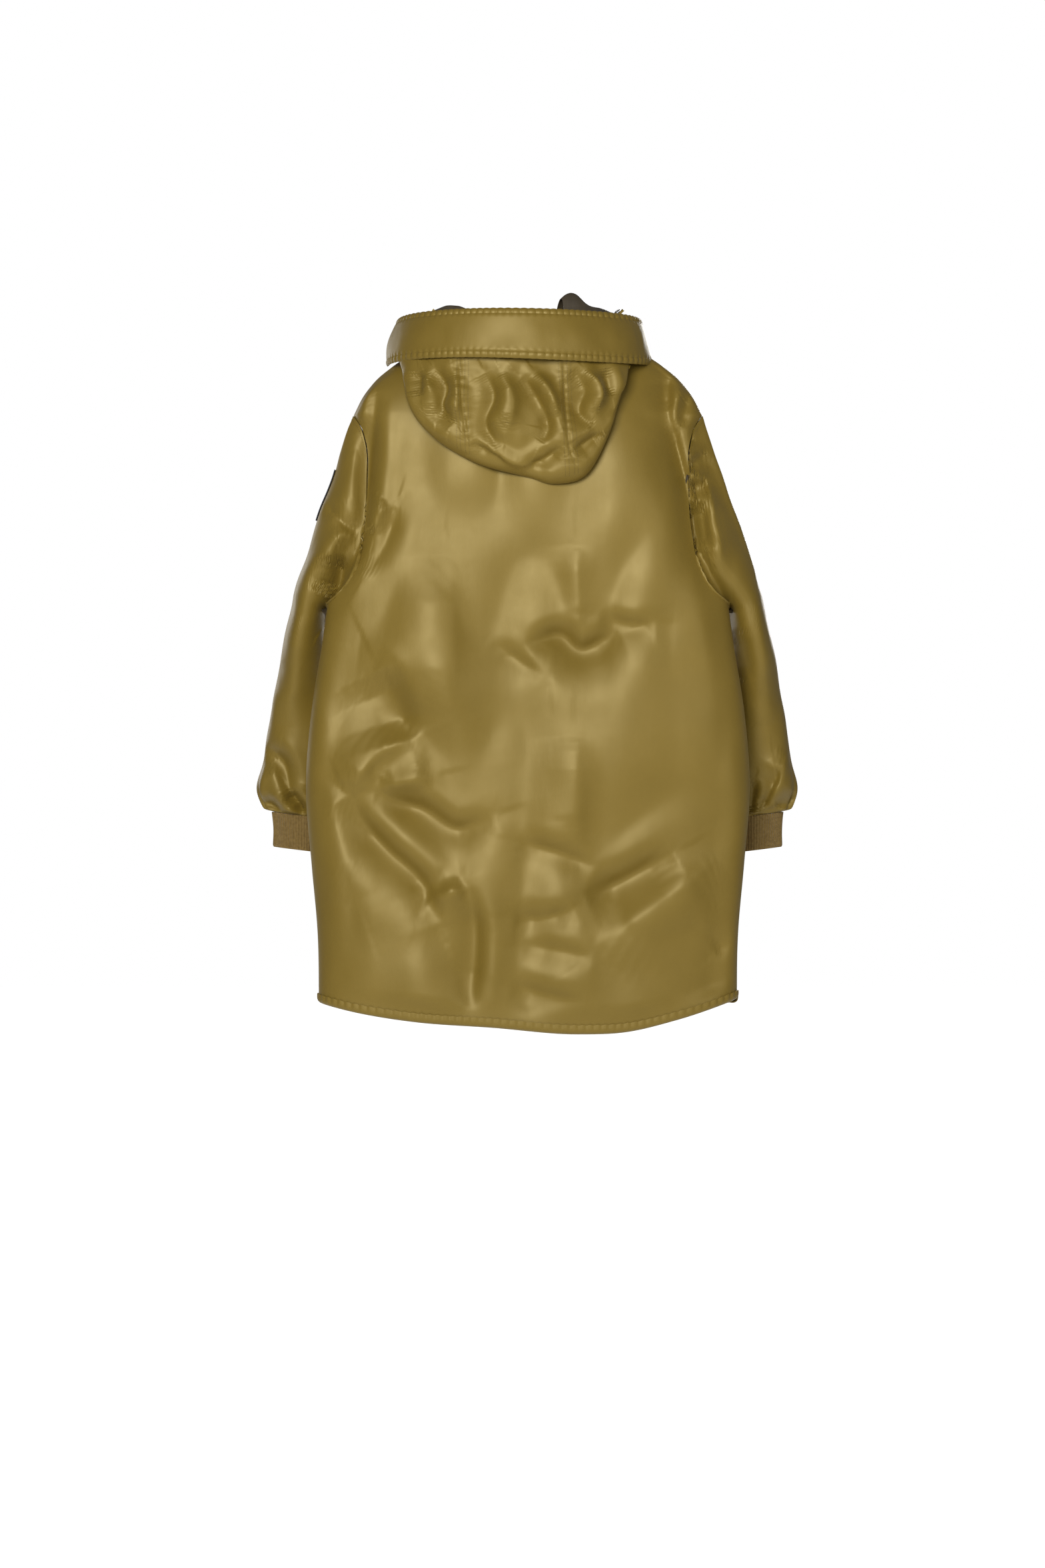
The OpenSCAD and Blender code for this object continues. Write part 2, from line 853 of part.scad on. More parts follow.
// The pocket's own frame: its back lies on y = 0 and its face looks along -Y.
module at_pocket() {
  translate([pocket_mid[0], pocket_mid[1], 0]) rotate([0, 0, pocket_turn]) children();
}

module pocket_left() {
  color(OLIVE)
    at_pocket()
      translate([-pocket_w / 2, -pocket_t, pocket_top - pocket_h])
        difference() {
          cube([pocket_w, pocket_t, pocket_h]);
          translate([pocket_wall, pocket_wall, pocket_wall])
            cube([pocket_w - 2 * pocket_wall, pocket_t - 2 * pocket_wall, pocket_h]);
        }
}

module pocket_right() {
  on_right() pocket_left();
}

// The flap comes off the front above the pocket and hangs over its face.
module pocket_flap_left() {
  reach = pocket_t + pocket_flap_gap + pocket_flap_t;
  color(OLIVE)
    at_pocket()
      translate([-pocket_w / 2 - 3, 0, 0])
        union() {
          translate([0, -3, pocket_hinge_z])
            rotate([0, 90, 0]) cylinder(r = 2.4, h = pocket_w + 6, $fn = 32);
          translate([0, -reach, pocket_hinge_z - 2]) cube([pocket_w + 6, reach - 3, 4]);
          translate([0, -reach, pocket_hinge_z + 2 - pocket_flap_h])
            cube([pocket_w + 6, pocket_flap_t, pocket_flap_h]);
        }
}

module pocket_flap_right() {
  on_right() pocket_flap_left();
}

module pocket_snap_caps_left() {
  color(DARK_METAL)
    at_pocket()
      for (side = [-1, 1]) {
        disc_at(side * pocket_snap_x, -pocket_t - pocket_flap_gap - pocket_flap_t - 0.1,
                pocket_snap_z, snap_d, 2.2);
        disc_at(side * pocket_snap_x, -pocket_t - 2.3, pocket_snap_z, snap_d - 3, 1.6);
      }
}

module pocket_snap_caps_right() {
  on_right() pocket_snap_caps_left();
}

module pocket_snap_studs_left() {
  color(DARK_METAL)
    at_pocket()
      for (side = [-1, 1])
        disc_at(side * pocket_snap_x, -pocket_t - 0.1, pocket_snap_z, snap_d - 4, 1.8);
}

module pocket_snap_studs_right() {
  on_right() pocket_snap_studs_left();
}

// ---------- the whole parka ----------

back_shell();
back_wadding();
back_lining();
front_shell_left();
front_shell_right();
front_wadding_left();
front_wadding_right();
front_lining_left();
front_lining_right();
front_facing_left();
front_facing_right();
hem_band_back();
hem_band_left();
hem_band_right();
sleeve_back_left();
sleeve_back_right();
sleeve_front_left();
sleeve_front_right();
sleeve_wadding_left();
sleeve_wadding_right();
sleeve_lining_left();
sleeve_lining_right();
rib_cuff_left();
rib_cuff_right();
sleeve_label();
hood_center_panel();
hood_side_left();
hood_side_right();
hood_lining_center();
hood_lining_left();
hood_lining_right();
hood_brim();
collar_left();
collar_right();
collar_lining_left();
collar_lining_right();
neck_tape();
hanger_loop();
zip_tape_left();
zip_tape_right();
zip_teeth_left();
zip_teeth_right();
zip_top_stops();
zip_bottom_box();
zip_slider();
zip_pull();
storm_flap();
storm_snap_caps();
storm_snap_sockets();
storm_snap_studs();
pocket_left();
pocket_right();
pocket_flap_left();
pocket_flap_right();
pocket_snap_caps_left();
pocket_snap_caps_right();
pocket_snap_studs_left();
pocket_snap_studs_right();
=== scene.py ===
import math

import bpy
import numpy as np
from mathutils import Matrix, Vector, noise


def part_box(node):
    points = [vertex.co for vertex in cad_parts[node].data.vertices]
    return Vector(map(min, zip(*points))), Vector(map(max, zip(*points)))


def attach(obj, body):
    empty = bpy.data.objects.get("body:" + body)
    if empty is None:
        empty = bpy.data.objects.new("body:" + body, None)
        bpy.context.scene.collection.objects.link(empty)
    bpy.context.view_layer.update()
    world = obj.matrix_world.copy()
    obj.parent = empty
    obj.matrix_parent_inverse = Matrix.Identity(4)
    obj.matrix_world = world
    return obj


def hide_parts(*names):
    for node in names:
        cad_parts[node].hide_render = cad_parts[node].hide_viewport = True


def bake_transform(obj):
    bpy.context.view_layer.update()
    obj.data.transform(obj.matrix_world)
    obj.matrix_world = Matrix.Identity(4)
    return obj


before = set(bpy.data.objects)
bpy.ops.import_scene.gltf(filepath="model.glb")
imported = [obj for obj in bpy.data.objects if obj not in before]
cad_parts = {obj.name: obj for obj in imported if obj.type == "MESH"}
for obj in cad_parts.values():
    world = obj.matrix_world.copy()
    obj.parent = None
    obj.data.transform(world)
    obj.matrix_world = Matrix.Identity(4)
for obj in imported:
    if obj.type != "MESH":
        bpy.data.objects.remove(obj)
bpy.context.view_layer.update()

# The looks of a hooded satin parka, in metres, in the CAD model's frame. It hangs as it would on a coat
# hanger, which isn't shown. +Z is up, the front faces -Y and the wearer's left is +X.

# ---------- sizes of the coat ----------

HEM_HALF = 0.289            # half width of the body at the hem
BACK_DEPTH = 0.090          # how far the back bulges behind the middle plane
FRONT_DEPTH = 0.082
SIDE_SWEEP = 0.030          # how far the side seams sit behind the middle plane
NECK_HALF = 0.088           # half width of the neck opening
FRONT_NECK_DROP = 0.099
BACK_NECK_Z = -0.005
SIDE_NECK_Z = 0.004
NECK_RIDGE = 0.025          # rise of the shoulder line's extension over the neck
ARM_TOP_X = 0.241           # the drop-shoulder point
SHOULDER_Z = -0.108
UNDERARM_Z = -0.368
FRONT_EDGE = 0.0105         # half the gap that the zip closes
CUFF_TILT = math.radians(7)
HEM_BAND = 0.012
HEM_DEPTH = 0.013           # from the hem roll's outer side to its inner side
HEM_PUCKER = 0.011          # length of one pucker along the hem
SHELL_T = 0.0022            # cloth thickness of the visible shell
LINING_T = 0.001
LINING_IN = 0.009           # how far the lining lies inside the shell
HOOD_SHIFT = 0.012          # the hood hangs a little towards the wearer's left

WRIST = Vector((0.321, -0.072, -0.662))
WRIST_HALF_W = 0.042
WRIST_HALF_D = 0.024
SLEEVE_START = 0.0015
WRIST_OUTER_Z = WRIST.z + WRIST_HALF_W * math.sin(CUFF_TILT)
SLEEVE_FULL = 0.030         # fullness of the sleeve's outer side
LEAVE_Z = UNDERARM_Z - 0.010   # where the sleeve has left the armhole
CUFF_H = 0.048
LABEL_TOP, LABEL_H = -0.183, 0.070
LABEL_TURN = 310            # degrees round the sleeve from its outer line to the label's front edge
SLEEVE_COLUMNS = 160

# Top of the shoulder: distance from the middle, height.
SHOULDER = [(0.088, 0.004), (0.120, -0.006), (0.155, -0.018), (0.190, -0.041), (0.215, -0.064),
            (0.231, -0.087), (0.241, -0.108)]
# Edge of the armhole, and the side of the body: height, distance from the middle.
ARMHOLE = [(-0.368, 0.277), (-0.350, 0.254), (-0.320, 0.236), (-0.275, 0.226), (-0.205, 0.221),
           (-0.143, 0.224), (-0.125, 0.230), (-0.108, 0.241)]
BODY_SIDE = [(-0.960, 0.289), (-0.820, 0.291), (-0.730, 0.299), (-0.620, 0.307), (-0.515, 0.299),
             (-0.420, 0.284), (-0.368, 0.277), (-0.250, 0.270), (-0.108, 0.252)]
# The hanging sleeve's inner side, its middle from front to back, and its half depth, each at a height.
SLEEVE_INNER = [(-0.662, 0.279), (-0.600, 0.270), (-0.540, 0.270), (-0.460, 0.281), (-0.400, 0.2805),
                (-0.368, 0.2780)]
SLEEVE_MID_Y = [(-0.662, -0.072), (-0.600, -0.066), (-0.500, -0.052), (-0.400, -0.016), (-0.240, 0.008)]
SLEEVE_HALF_D = [(-0.662, 0.024), (-0.600, 0.034), (-0.500, 0.045), (-0.400, 0.052), (-0.240, 0.054)]
# Lower edge of the hem, from the wearer's right to the left: distance from the middle, height.
HEM_EDGE = [(-0.289, -0.914), (-0.206, -0.940), (-0.136, -0.956), (-0.069, -0.959),
            (0.050, -0.950), (0.160, -0.942), (0.239, -0.930), (0.289, -0.919)]


# ---------- curves and folds ----------

def smooth_curve(points):
    """A smooth function through a few (place, value) points."""
    xs, ys = np.array(sorted(points)).T
    slopes = np.gradient(ys, xs)

    def at(place):
        q = np.clip(place, xs[0], xs[-1])
        i = np.clip(np.searchsorted(xs, q) - 1, 0, len(xs) - 2)
        h = xs[i + 1] - xs[i]
        t = (q - xs[i]) / h
        return ((2 * t**3 - 3 * t**2 + 1) * ys[i] + (t**3 - 2 * t**2 + t) * h * slopes[i]
                + (3 * t**2 - 2 * t**3) * ys[i + 1] + (t**3 - t**2) * h * slopes[i + 1])
    return at


def smooth_line(points, steps=14):
    """A dense smooth line through a few points of any dimension."""
    p = np.array(points, float)
    if len(p) == 2:
        return p[0] + np.linspace(0, 1, 2 * steps)[:, None] * (p[1] - p[0])
    places = np.arange(len(p))
    fine = np.linspace(0, len(p) - 1, steps * (len(p) - 1) + 1)
    return np.stack([smooth_curve(list(zip(places, column)))(fine) for column in p.T], 1)


def lengths_along(line):
    """Length from a line's start to each of its points."""
    return np.append(0, np.cumsum(np.linalg.norm(np.diff(line, axis=0), axis=1)))


def points_at(places, lengths, line):
    """Points of a line at those lengths along it."""
    return np.stack([np.interp(places, lengths, column) for column in line.T], 1)


def even_line(points, spacing=0.003):
    """The smooth line through the points, in even steps."""
    line = smooth_line(points)
    lengths = lengths_along(line)
    places = np.linspace(0, lengths[-1], max(12, int(lengths[-1] / spacing)))
    return points_at(places, lengths, line)


def step(low, high, x):
    """Smooth step from 0 at low to 1 at high."""
    t = np.clip((x - low) / (high - low), 0, 1)
    return t * t * (3 - 2 * t)


def between_seams(v, top=0.985):
    """1 inside a panel, and 0 at its lower and upper seams."""
    return (step(0, 0.03, v) * step(1.0, top, v))[:, None]


def denser_up(count):
    """Steps from 0 to 1 that get closer towards 1."""
    return 1 - (1 - np.linspace(0, 1, count)) ** 1.25


def on_side(grid, side):
    """A grid made for the wearer's left (side 1), or mirrored for the right (side -1)."""
    return grid * np.array([side, 1, 1])


def ring_angles(count):
    return np.linspace(0, 2 * math.pi, count + 1)[:-1]


def fold(height, width, *points, lean=0.42):
    """One fold, given in whole millimetres: its height (negative for a valley), its half width and the
    line it follows, as distances from the middle and heights. Lean makes it steeper on one side."""
    return {"height": height / 1000, "width": width / 1000, "lean": lean, "points": np.array(points) / 1000}


def mirrored(folds):
    """The same folds on the other side of the middle plane."""
    return [dict(f, points=f["points"] * [-1, 1], lean=-f["lean"]) for f in folds]


def fold_height(folds, x, z, spread=1.8):
    """Sum of the folds at the places (x, z). Beside a valley the cloth that it takes up rises a little.
    Spread widens every fold, as padding does."""
    flat = np.stack([np.ravel(x), np.ravel(z)], 1)
    total = np.zeros(len(flat))
    for f in folds:
        line = even_line(f["points"])
        width = f["width"] * spread
        near = np.abs(flat - line.mean(0)).max(1) < np.ptp(line, 0).max() + 4 * width
        if not near.any():
            continue
        spots = flat[near]
        gap = ((spots[:, None, :] - line[None, :, :]) ** 2).sum(2)
        nearest = gap.argmin(1)
        tangent = np.gradient(line, axis=0)
        tangent /= np.linalg.norm(tangent, axis=1)[:, None] + 1e-9
        away = spots - line[nearest]
        side = np.sign(tangent[nearest, 0] * away[:, 1] - tangent[nearest, 1] * away[:, 0])
        t = np.sqrt(gap.min(1)) / (width * (1 + f["lean"] * side))
        along = nearest / (len(line) - 1)
        taper = np.clip(np.minimum(along, 1 - along) / 0.30, 0.08, 1) ** 0.8
        shape = 1 / (1 + t**2) ** 1.6 - 0.16 * np.exp(-((t - 2.1) / 1.0) ** 2)
        total[near] += f["height"] * spread**0.6 * taper * shape
    return total.reshape(np.shape(x))


def crumple(points, size, stretch=(1, 1, 1), seed=0.0):
    """Soft noise between about -1 and 1 at each point of a grid. Stretch above 1 draws it out that way."""
    flat = points.reshape(-1, 3) / (size * np.array(stretch)) + seed
    return np.array([noise.noise(Vector(p)) for p in flat]).reshape(points.shape[:-1])


def waves(points, seed=3.0):
    """Broad hollows and bulges of hanging padded cloth, with soft creases where two bulges meet."""
    broad = crumple(points, 0.17, (1, 1, 1.4), seed)
    billow = np.sqrt(crumple(points, 0.13, (0.8, 1, 1.5), seed + 7) ** 2 + 0.010)
    fine = crumple(points, 0.055, (1, 1, 1.4), seed + 13)
    return 0.012 * broad + 0.020 * (billow - 0.24) + 0.0020 * fine


# ---------- meshes ----------

def normals_of(grid, wrap):
    """Unit normals of a grid of points (rows, columns, 3)."""
    if wrap:
        ext = np.concatenate([grid[:, -1:], grid, grid[:, :1]], 1)
        across = ext[:, 2:] - ext[:, :-2]
    else:
        across = np.gradient(grid, axis=1)
    n = np.cross(across, np.gradient(grid, axis=0))
    return n / (np.linalg.norm(n, axis=2, keepdims=True) + 1e-12)


def grid_quads(rows, cols, base, wrap, flip):
    r, c = np.meshgrid(np.arange(rows - 1), np.arange(cols if wrap else cols - 1), indexing="ij")
    a = (base + r * cols + c).ravel()
    b = (base + r * cols + (c + 1) % cols).ravel()
    quads = np.stack([a, b, b + cols, a + cols], 1)
    return quads[:, ::-1] if flip else quads


def edge_quads(outer, inner, flip):
    """A strip between two equal chains of point numbers."""
    quads = np.stack([outer[:-1], inner[:-1], inner[1:], outer[1:]], 1)
    return quads[:, ::-1] if flip else quads


def cloth(grid, thickness, material, wrap=False, flip=False):
    """A closed piece of cloth: the grid is its outer face, and its inner face lies thickness inside.
    Its normals point the way of columns x rows, or the other way with flip."""
    rows, cols = grid.shape[:2]
    out = normals_of(grid, wrap) * (-1 if flip else 1)
    inside = grid - out * thickness
    n = rows * cols
    faces = [grid_quads(rows, cols, 0, wrap, flip), grid_quads(rows, cols, n, wrap, not flip)]
    first, last = np.arange(cols), np.arange(cols) + (rows - 1) * cols
    if wrap:
        first, last = np.append(first, first[0]), np.append(last, last[0])
    else:
        left, right = np.arange(rows) * cols, np.arange(rows) * cols + cols - 1
        faces += [edge_quads(left, left + n, not flip), edge_quads(right, right + n, flip)]
    faces += [edge_quads(first, first + n, flip), edge_quads(last, last + n, not flip)]
    return np.concatenate([grid.reshape(-1, 3), inside.reshape(-1, 3)]), np.concatenate(faces), material


STITCH_FACES = np.array([[0, 1, 2], [0, 2, 3], [0, 3, 4], [0, 4, 1],
                         [5, 2, 1], [5, 3, 2], [5, 4, 3], [5, 1, 4]])


def stitches(path, pitch=0.0032, radius=0.00045, material=None):
    """A row of sewn stitches along a line of points: one small spindle of thread each."""
    lengths = lengths_along(path)
    places = np.arange(pitch / 2, lengths[-1], pitch)
    mids = points_at(places, lengths, path)
    ahead = points_at(places + pitch / 4, lengths, path) - mids
    ahead /= np.linalg.norm(ahead, axis=1)[:, None] + 1e-12
    up = np.cross(ahead, np.array([0.31, 0.52, 0.79]))
    up /= np.linalg.norm(up, axis=1)[:, None] + 1e-12
    side = np.cross(ahead, up)
    half = 0.38 * pitch
    points = np.stack([mids - half * ahead, mids + radius * up, mids + radius * side,
                       mids - radius * up, mids - radius * side, mids + half * ahead], 1)
    faces = STITCH_FACES[None] + 6 * np.arange(len(mids))[:, None, None]
    return points.reshape(-1, 3), faces.reshape(-1, 3), material or THREAD


def make_piece(name, parts, sharp=50):
    """One object from parts of (points, faces, material)."""
    points, faces, slots, materials, base = [], [], [], [], 0
    for part_points, part_faces, material in parts:
        if material not in materials:
            materials.append(material)
        points.append(part_points)
        faces += (part_faces + base).tolist()
        slots += [materials.index(material)] * len(part_faces)
        base += len(part_points)
    mesh = bpy.data.meshes.new(name)
    mesh.from_pydata(np.concatenate(points).tolist(), [], faces)
    for material in materials:
        mesh.materials.append(material)
    mesh.polygons.foreach_set("material_index", slots)
    mesh.polygons.foreach_set("use_smooth", [True] * len(faces))
    mesh.set_sharp_from_angle(angle=math.radians(sharp))
    mesh.update()
    piece = bpy.data.objects.new(name, mesh)
    bpy.context.scene.collection.objects.link(piece)
    return piece


def place(piece, body, slot, *nodes):
    """The piece stands for those CAD nodes and rides on their body."""
    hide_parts(*nodes)
    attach(piece, body)


# ---------- materials ----------

def new_material(name):
    material = bpy.data.materials.new(name)
    material.use_nodes = True
    nodes, links = material.node_tree.nodes, material.node_tree.links
    return material, nodes, links, nodes["Principled BSDF"]


def add_node(nodes, kind, **values):
    node = nodes.new(kind)
    for key, value in values.items():
        if key in node.inputs:
            node.inputs[key].default_value = value
        else:
            setattr(node, key, value)
    return node


def place_texture(nodes, links, texture, scale=(1, 1, 1), turn=(0, 0, 0)):
    """Feeds a texture with object coordinates, scaled and turned."""
    coordinates = add_node(nodes, "ShaderNodeTexCoord")
    mapping = add_node(nodes, "ShaderNodeMapping", Scale=scale, Rotation=turn)
    links.new(coordinates.outputs["Object"], mapping.inputs["Vector"])
    links.new(mapping.outputs["Vector"], texture.inputs["Vector"])


def varied_colour(nodes, links, shader, dark, light, size, amount=1.0):
    """Base colour that drifts between two close tones."""
    cloud = add_node(nodes, "ShaderNodeTexNoise", Scale=1 / size, Detail=5.0, Roughness=0.6)
    place_texture(nodes, links, cloud)
    ramp = add_node(nodes, "ShaderNodeValToRGB")
    ramp.color_ramp.elements[0].position = 0.5 - 0.22 / amount
    ramp.color_ramp.elements[1].position = 0.5 + 0.22 / amount
    ramp.color_ramp.elements[0].color = (*dark, 1)
    ramp.color_ramp.elements[1].color = (*light, 1)
    links.new(cloud.outputs["Fac"], ramp.inputs["Fac"])
    links.new(ramp.outputs["Color"], shader.inputs["Base Color"])


def varied_roughness(nodes, links, shader, low, high, size):
    cloud = add_node(nodes, "ShaderNodeTexNoise", Scale=1 / size, Detail=3.0)
    place_texture(nodes, links, cloud)
    spread = add_node(nodes, "ShaderNodeMapRange")
    for key, value in (("From Min", 0.3), ("From Max", 0.7), ("To Min", low), ("To Max", high)):
        spread.inputs[key].default_value = value
    links.new(cloud.outputs["Fac"], spread.inputs["Value"])
    links.new(spread.outputs["Result"], shader.inputs["Roughness"])


def weave_bump(nodes, links, shader, pitch, distance, turn, grain=0.0):
    """Fine diagonal ribs of a woven cloth, with an uneven thread."""
    wave = add_node(nodes, "ShaderNodeTexWave", Scale=0.16 / pitch, Distortion=0.6, Detail=1.0)
    wave.inputs["Detail Scale"].default_value = 1.5
    place_texture(nodes, links, wave, turn=turn)
    bump = add_node(nodes, "ShaderNodeBump", Strength=0.5, Distance=distance)
    links.new(wave.outputs["Fac"], bump.inputs["Height"])
    if grain:
        soft = add_node(nodes, "ShaderNodeTexNoise", Scale=1 / 0.012, Detail=4.0)
        place_texture(nodes, links, soft, (1, 1, 0.35))
        ripple = add_node(nodes, "ShaderNodeBump", Strength=0.55, Distance=grain)
        links.new(soft.outputs["Fac"], ripple.inputs["Height"])
        links.new(bump.outputs["Normal"], ripple.inputs["Normal"])
        bump = ripple
    links.new(bump.outputs["Normal"], shader.inputs["Normal"])


def woven(name, dark, light, patch, gloss, weave, amount=1.0, grain=0.0, **values):
    """A material of two close tones in patches of one size. Gloss is the lowest and highest roughness and
    the size of its patches; weave is the ribs' pitch, depth and turn. Values go on the shader's sockets."""
    material, nodes, links, shader = new_material(name)
    varied_colour(nodes, links, shader, dark, light, patch, amount)
    varied_roughness(nodes, links, shader, *gloss)
    weave_bump(nodes, links, shader, *weave, grain)
    for socket, value in values.items():
        shader.inputs[socket.replace("_", " ")].default_value = value
    return material


def satin():
    """Padded olive nylon satin: a soft wide sheen and a fine twill."""
    return woven("olive_satin", (0.138, 0.089, 0.011), (0.172, 0.113, 0.018), 0.16, (0.45, 0.52, 0.05),
                 (0.0009, 0.00005, (0, 0.8, 0.3)), 0.8, 0.0004, Specular_IOR_Level=0.70,
                 Specular_Tint=(1.0, 0.84, 0.44, 1), Sheen_Weight=0.06, Sheen_Roughness=0.4,
                 Sheen_Tint=(0.9, 0.75, 0.42, 1))


def taffeta():
    return woven("brown_taffeta", (0.040, 0.030, 0.017), (0.066, 0.050, 0.029), 0.03, (0.38, 0.5, 0.02),
                 (0.0008, 0.00008, (0, 0, 0)), grain=0.0012, Specular_IOR_Level=0.5)


def rib_knit():
    return woven("rib_knit", (0.135, 0.083, 0.019), (0.180, 0.114, 0.030), 0.004, (0.75, 0.9, 0.01),
                 (0.0011, 0.0003, (0, math.pi / 2, 0)), 1.6, 0.0008, Sheen_Weight=0.3,
                 Specular_IOR_Level=0.25)


def thread():
    return woven("olive_thread", (0.125, 0.082, 0.015), (0.165, 0.110, 0.022), 0.002, (0.45, 0.6, 0.004),
                 (0.0004, 0.0001, (0.4, 0.7, 0)))


def woven_tape():
    return woven("woven_tape", (0.070, 0.052, 0.016), (0.105, 0.080, 0.028), 0.005, (0.6, 0.75, 0.004),
                 (0.0012, 0.0003, (0, 0.78, 0)))


def black_woven():
    return woven("black_label_weave", (0.006, 0.006, 0.008), (0.014, 0.014, 0.017), 0.006,
                 (0.5, 0.65, 0.004), (0.0008, 0.0002, (0, 0.78, 0)))


def gunmetal():
    """Dark painted metal with worn, brighter patches."""
    return woven("dark_gunmetal", (0.050, 0.047, 0.042), (0.115, 0.105, 0.092), 0.003, (0.25, 0.42, 0.004),
                 (0.0005, 0.00002, (0.3, 0.2, 0)), 1.3, Metallic=0.85)


SATIN, TAFFETA, RIB, THREAD = satin(), taffeta(), rib_knit(), thread()
TAPE, BLACK, METAL = woven_tape(), black_woven(), gunmetal()


# ---------- torso surface ----------

shoulder_at, armhole_at = smooth_curve(SHOULDER), smooth_curve(ARMHOLE)
side_at, hem_at = smooth_curve(BODY_SIDE), smooth_curve(HEM_EDGE)


def section(q):
    """Depth of a level cut through the body, 1 at the middle and 0 at the side."""
    return np.clip(1 - np.clip(np.abs(q), 0, 1) ** 2.6, 0, 1) ** 0.45


def swell(h, soft):
    """How the body fills out at a depth h below the shoulder line."""
    return (1 - np.exp(-np.clip(h, 0, None) / soft)) ** 0.6


def ridge(x):
    """Height of the shoulder line, carried on over the neck."""
    x = np.abs(x)
    over_neck = SIDE_NECK_Z + NECK_RIDGE * (1 - (x / NECK_HALF) ** 2)
    return np.where(x < NECK_HALF, over_neck, shoulder_at(x))


def back_top(x):
    t = np.clip(np.abs(x) / NECK_HALF, 0, 1)
    return np.where(t < 1, BACK_NECK_Z + (SIDE_NECK_Z - BACK_NECK_Z) * t**2, ridge(x))


def front_top(x):
    t = np.clip(np.abs(x) / NECK_HALF, 0, 1)
    return np.where(t < 1, SIDE_NECK_Z - FRONT_NECK_DROP * (1 - t**2.4), ridge(x))


def edge_half(z, off):
    side = side_at(z) - off
    return np.where(z < UNDERARM_Z, side, np.minimum(armhole_at(z), side))


def back_y(x, z, h, off):
    q = np.clip(np.abs(x) / (side_at(z) - off), 0, 1)
    return SIDE_SWEEP * q**2 + (BACK_DEPTH - off) * swell(h - off, 0.080) * section(q)


def front_y(x, z, h, off):
    q = np.clip(np.abs(x) / (side_at(z) - off), 0, 1)
    soft = 0.022 + 0.050 * np.clip(np.abs(x) / ARM_TOP_X, 0, 1) ** 2
    return SIDE_SWEEP * q**2 - (FRONT_DEPTH - off) * swell(h - off, soft) * section(q)


def torso_grid(is_back, near, off, low, high, s, v):
    """Points of a back or front panel. s runs across it, -1 to 1, and v up it, 0 to 1.
    Low and high are heights above the hem's lower edge; a high of None goes up to the shoulder."""
    v, s = np.meshgrid(v, s, indexing="ij")
    size = np.abs(s)
    side = np.where(s < 0, -1, 1)
    top_x = near + (ARM_TOP_X - near) * size
    bottom = hem_at(side * (near + (HEM_HALF - near) * size))
    top = bottom + high if high else (back_top(top_x) if is_back else front_top(top_x)) - off
    z = bottom + low + (top - bottom - low) * v
    x = near + (edge_half(z, off) - near) * size
    h = ridge(top_x) - z
    y = back_y(x, z, h, off) if is_back else front_y(x, z, h, off)
    return np.stack([x * side, y, z], 2)


def side_share(x, z):
    """Fades the folds out at the side of the body."""
    return step(1.0, 0.84, np.abs(x) / side_at(z))


# ---------- folds of the back, from the shoulders down ----------

LEFT_CREASE = [
    fold(-14, 11, (208, -66), (214, -127), (221, -212), (227, -265), (236, -300), (262, -351), (284, -396)),
    fold(6, 10, (213, -66), (226, -90), (228, -122)),
]
RIGHT_CREASE = [
    fold(-13, 10, (-183, -50), (-190, -102), (-201, -140), (-214, -194), (-224, -240), (-232, -290),
         (-248, -323), (-268, -358), (-284, -402)),
    fold(-6, 7, (-193, -50), (-195, -106)),
    fold(5, 7, (-210, -68), (-203, -102), (-203, -136)),
    fold(-6, 8, (-222, -80), (-211, -128)),
]
BACK_FOLDS = LEFT_CREASE + RIGHT_CREASE + [
    # beside the wearer's left armhole
    fold(7, 11, (190, -236), (207, -250), (212, -275)),
    fold(-6, 13, (180, -235), (196, -285), (226, -335)),
    # under the hood
    fold(6, 24, (110, -300), (108, -420), (112, -530)),
    fold(5, 14, (-64, -290), (-69, -410), lean=0.4),
    fold(-11, 12, (4, -431), (-40, -414), (-72, -434), (-105, -421), (-130, -410)),
    fold(-6, 10, (-97, -388), (-140, -400), (-176, -397)),
    fold(-4, 9, (50, -423), (15, -447), (-21, -473)),
    # the soft dent over the wearer's left hip, and the two lobes below it
    fold(-12, 30, (205, -460), (182, -510), (166, -560)),
    fold(5, 22, (235, -430), (190, -440), (160, -490), (146, -540)),
    fold(10, 16, (158, -556), (202, -573), (231, -604), (250, -632)),
    fold(9, 15, (132, -606), (206, -622)),
    fold(-11, 13, (213, -630), (180, -643), (140, -655), (96, -680), (44, -660)),
    fold(-16, 15, (248, -630), (226, -672), (194, -708), (157, -741), (134, -775), (120, -812)),
    fold(10, 11, (138, -766), (118, -771), (90, -752)),
    fold(-11, 12, (86, -757), (72, -824), (79, -928)),
    fold(7, 28, (285, -600), (262, -690), (232, -780)),
    # the swags in the middle
    fold(6, 18, (-64, -550), (-66, -705), lean=0.4),
    fold(-8, 12, (16, -696), (-40, -712), (-96, -735)),
    fold(-7, 13, (22, -798), (-20, -803), (-64, -786)),
    fold(-6, 12, (10, -838), (-50, -847), (-92, -858)),
    fold(-6, 12, (24, -893), (-30, -908), (-78, -918)),
    # the long diagonal folds over the wearer's right hip
    fold(-12, 16, (-76, -776), (-130, -752), (-202, -711)),
    fold(11, 26, (-92, -846), (-180, -782), (-268, -720)),
    fold(-7, 8, (-292, -828), (-258, -853)),
]


def back_relief(grid, v):
    """How far the folds lift the back's plain surface."""
    x, z = grid[..., 0], grid[..., 2]
    return (fold_height(BACK_FOLDS, x, z) + waves(grid)) * side_share(x, z) * between_seams(v)


def back_panel():
    s = np.sin(np.linspace(-math.pi / 2, math.pi / 2, 191))
    v = denser_up(261)
    grid = torso_grid(True, 0, 0, HEM_BAND - 0.002, None, s, v)
    grid[..., 1] += back_relief(grid, v)
    piece = make_piece("back_panel", [cloth(grid, SHELL_T, SATIN, flip=True)])
    place(piece, "coat_body", "satin_shell", "back_shell", "back_wadding")


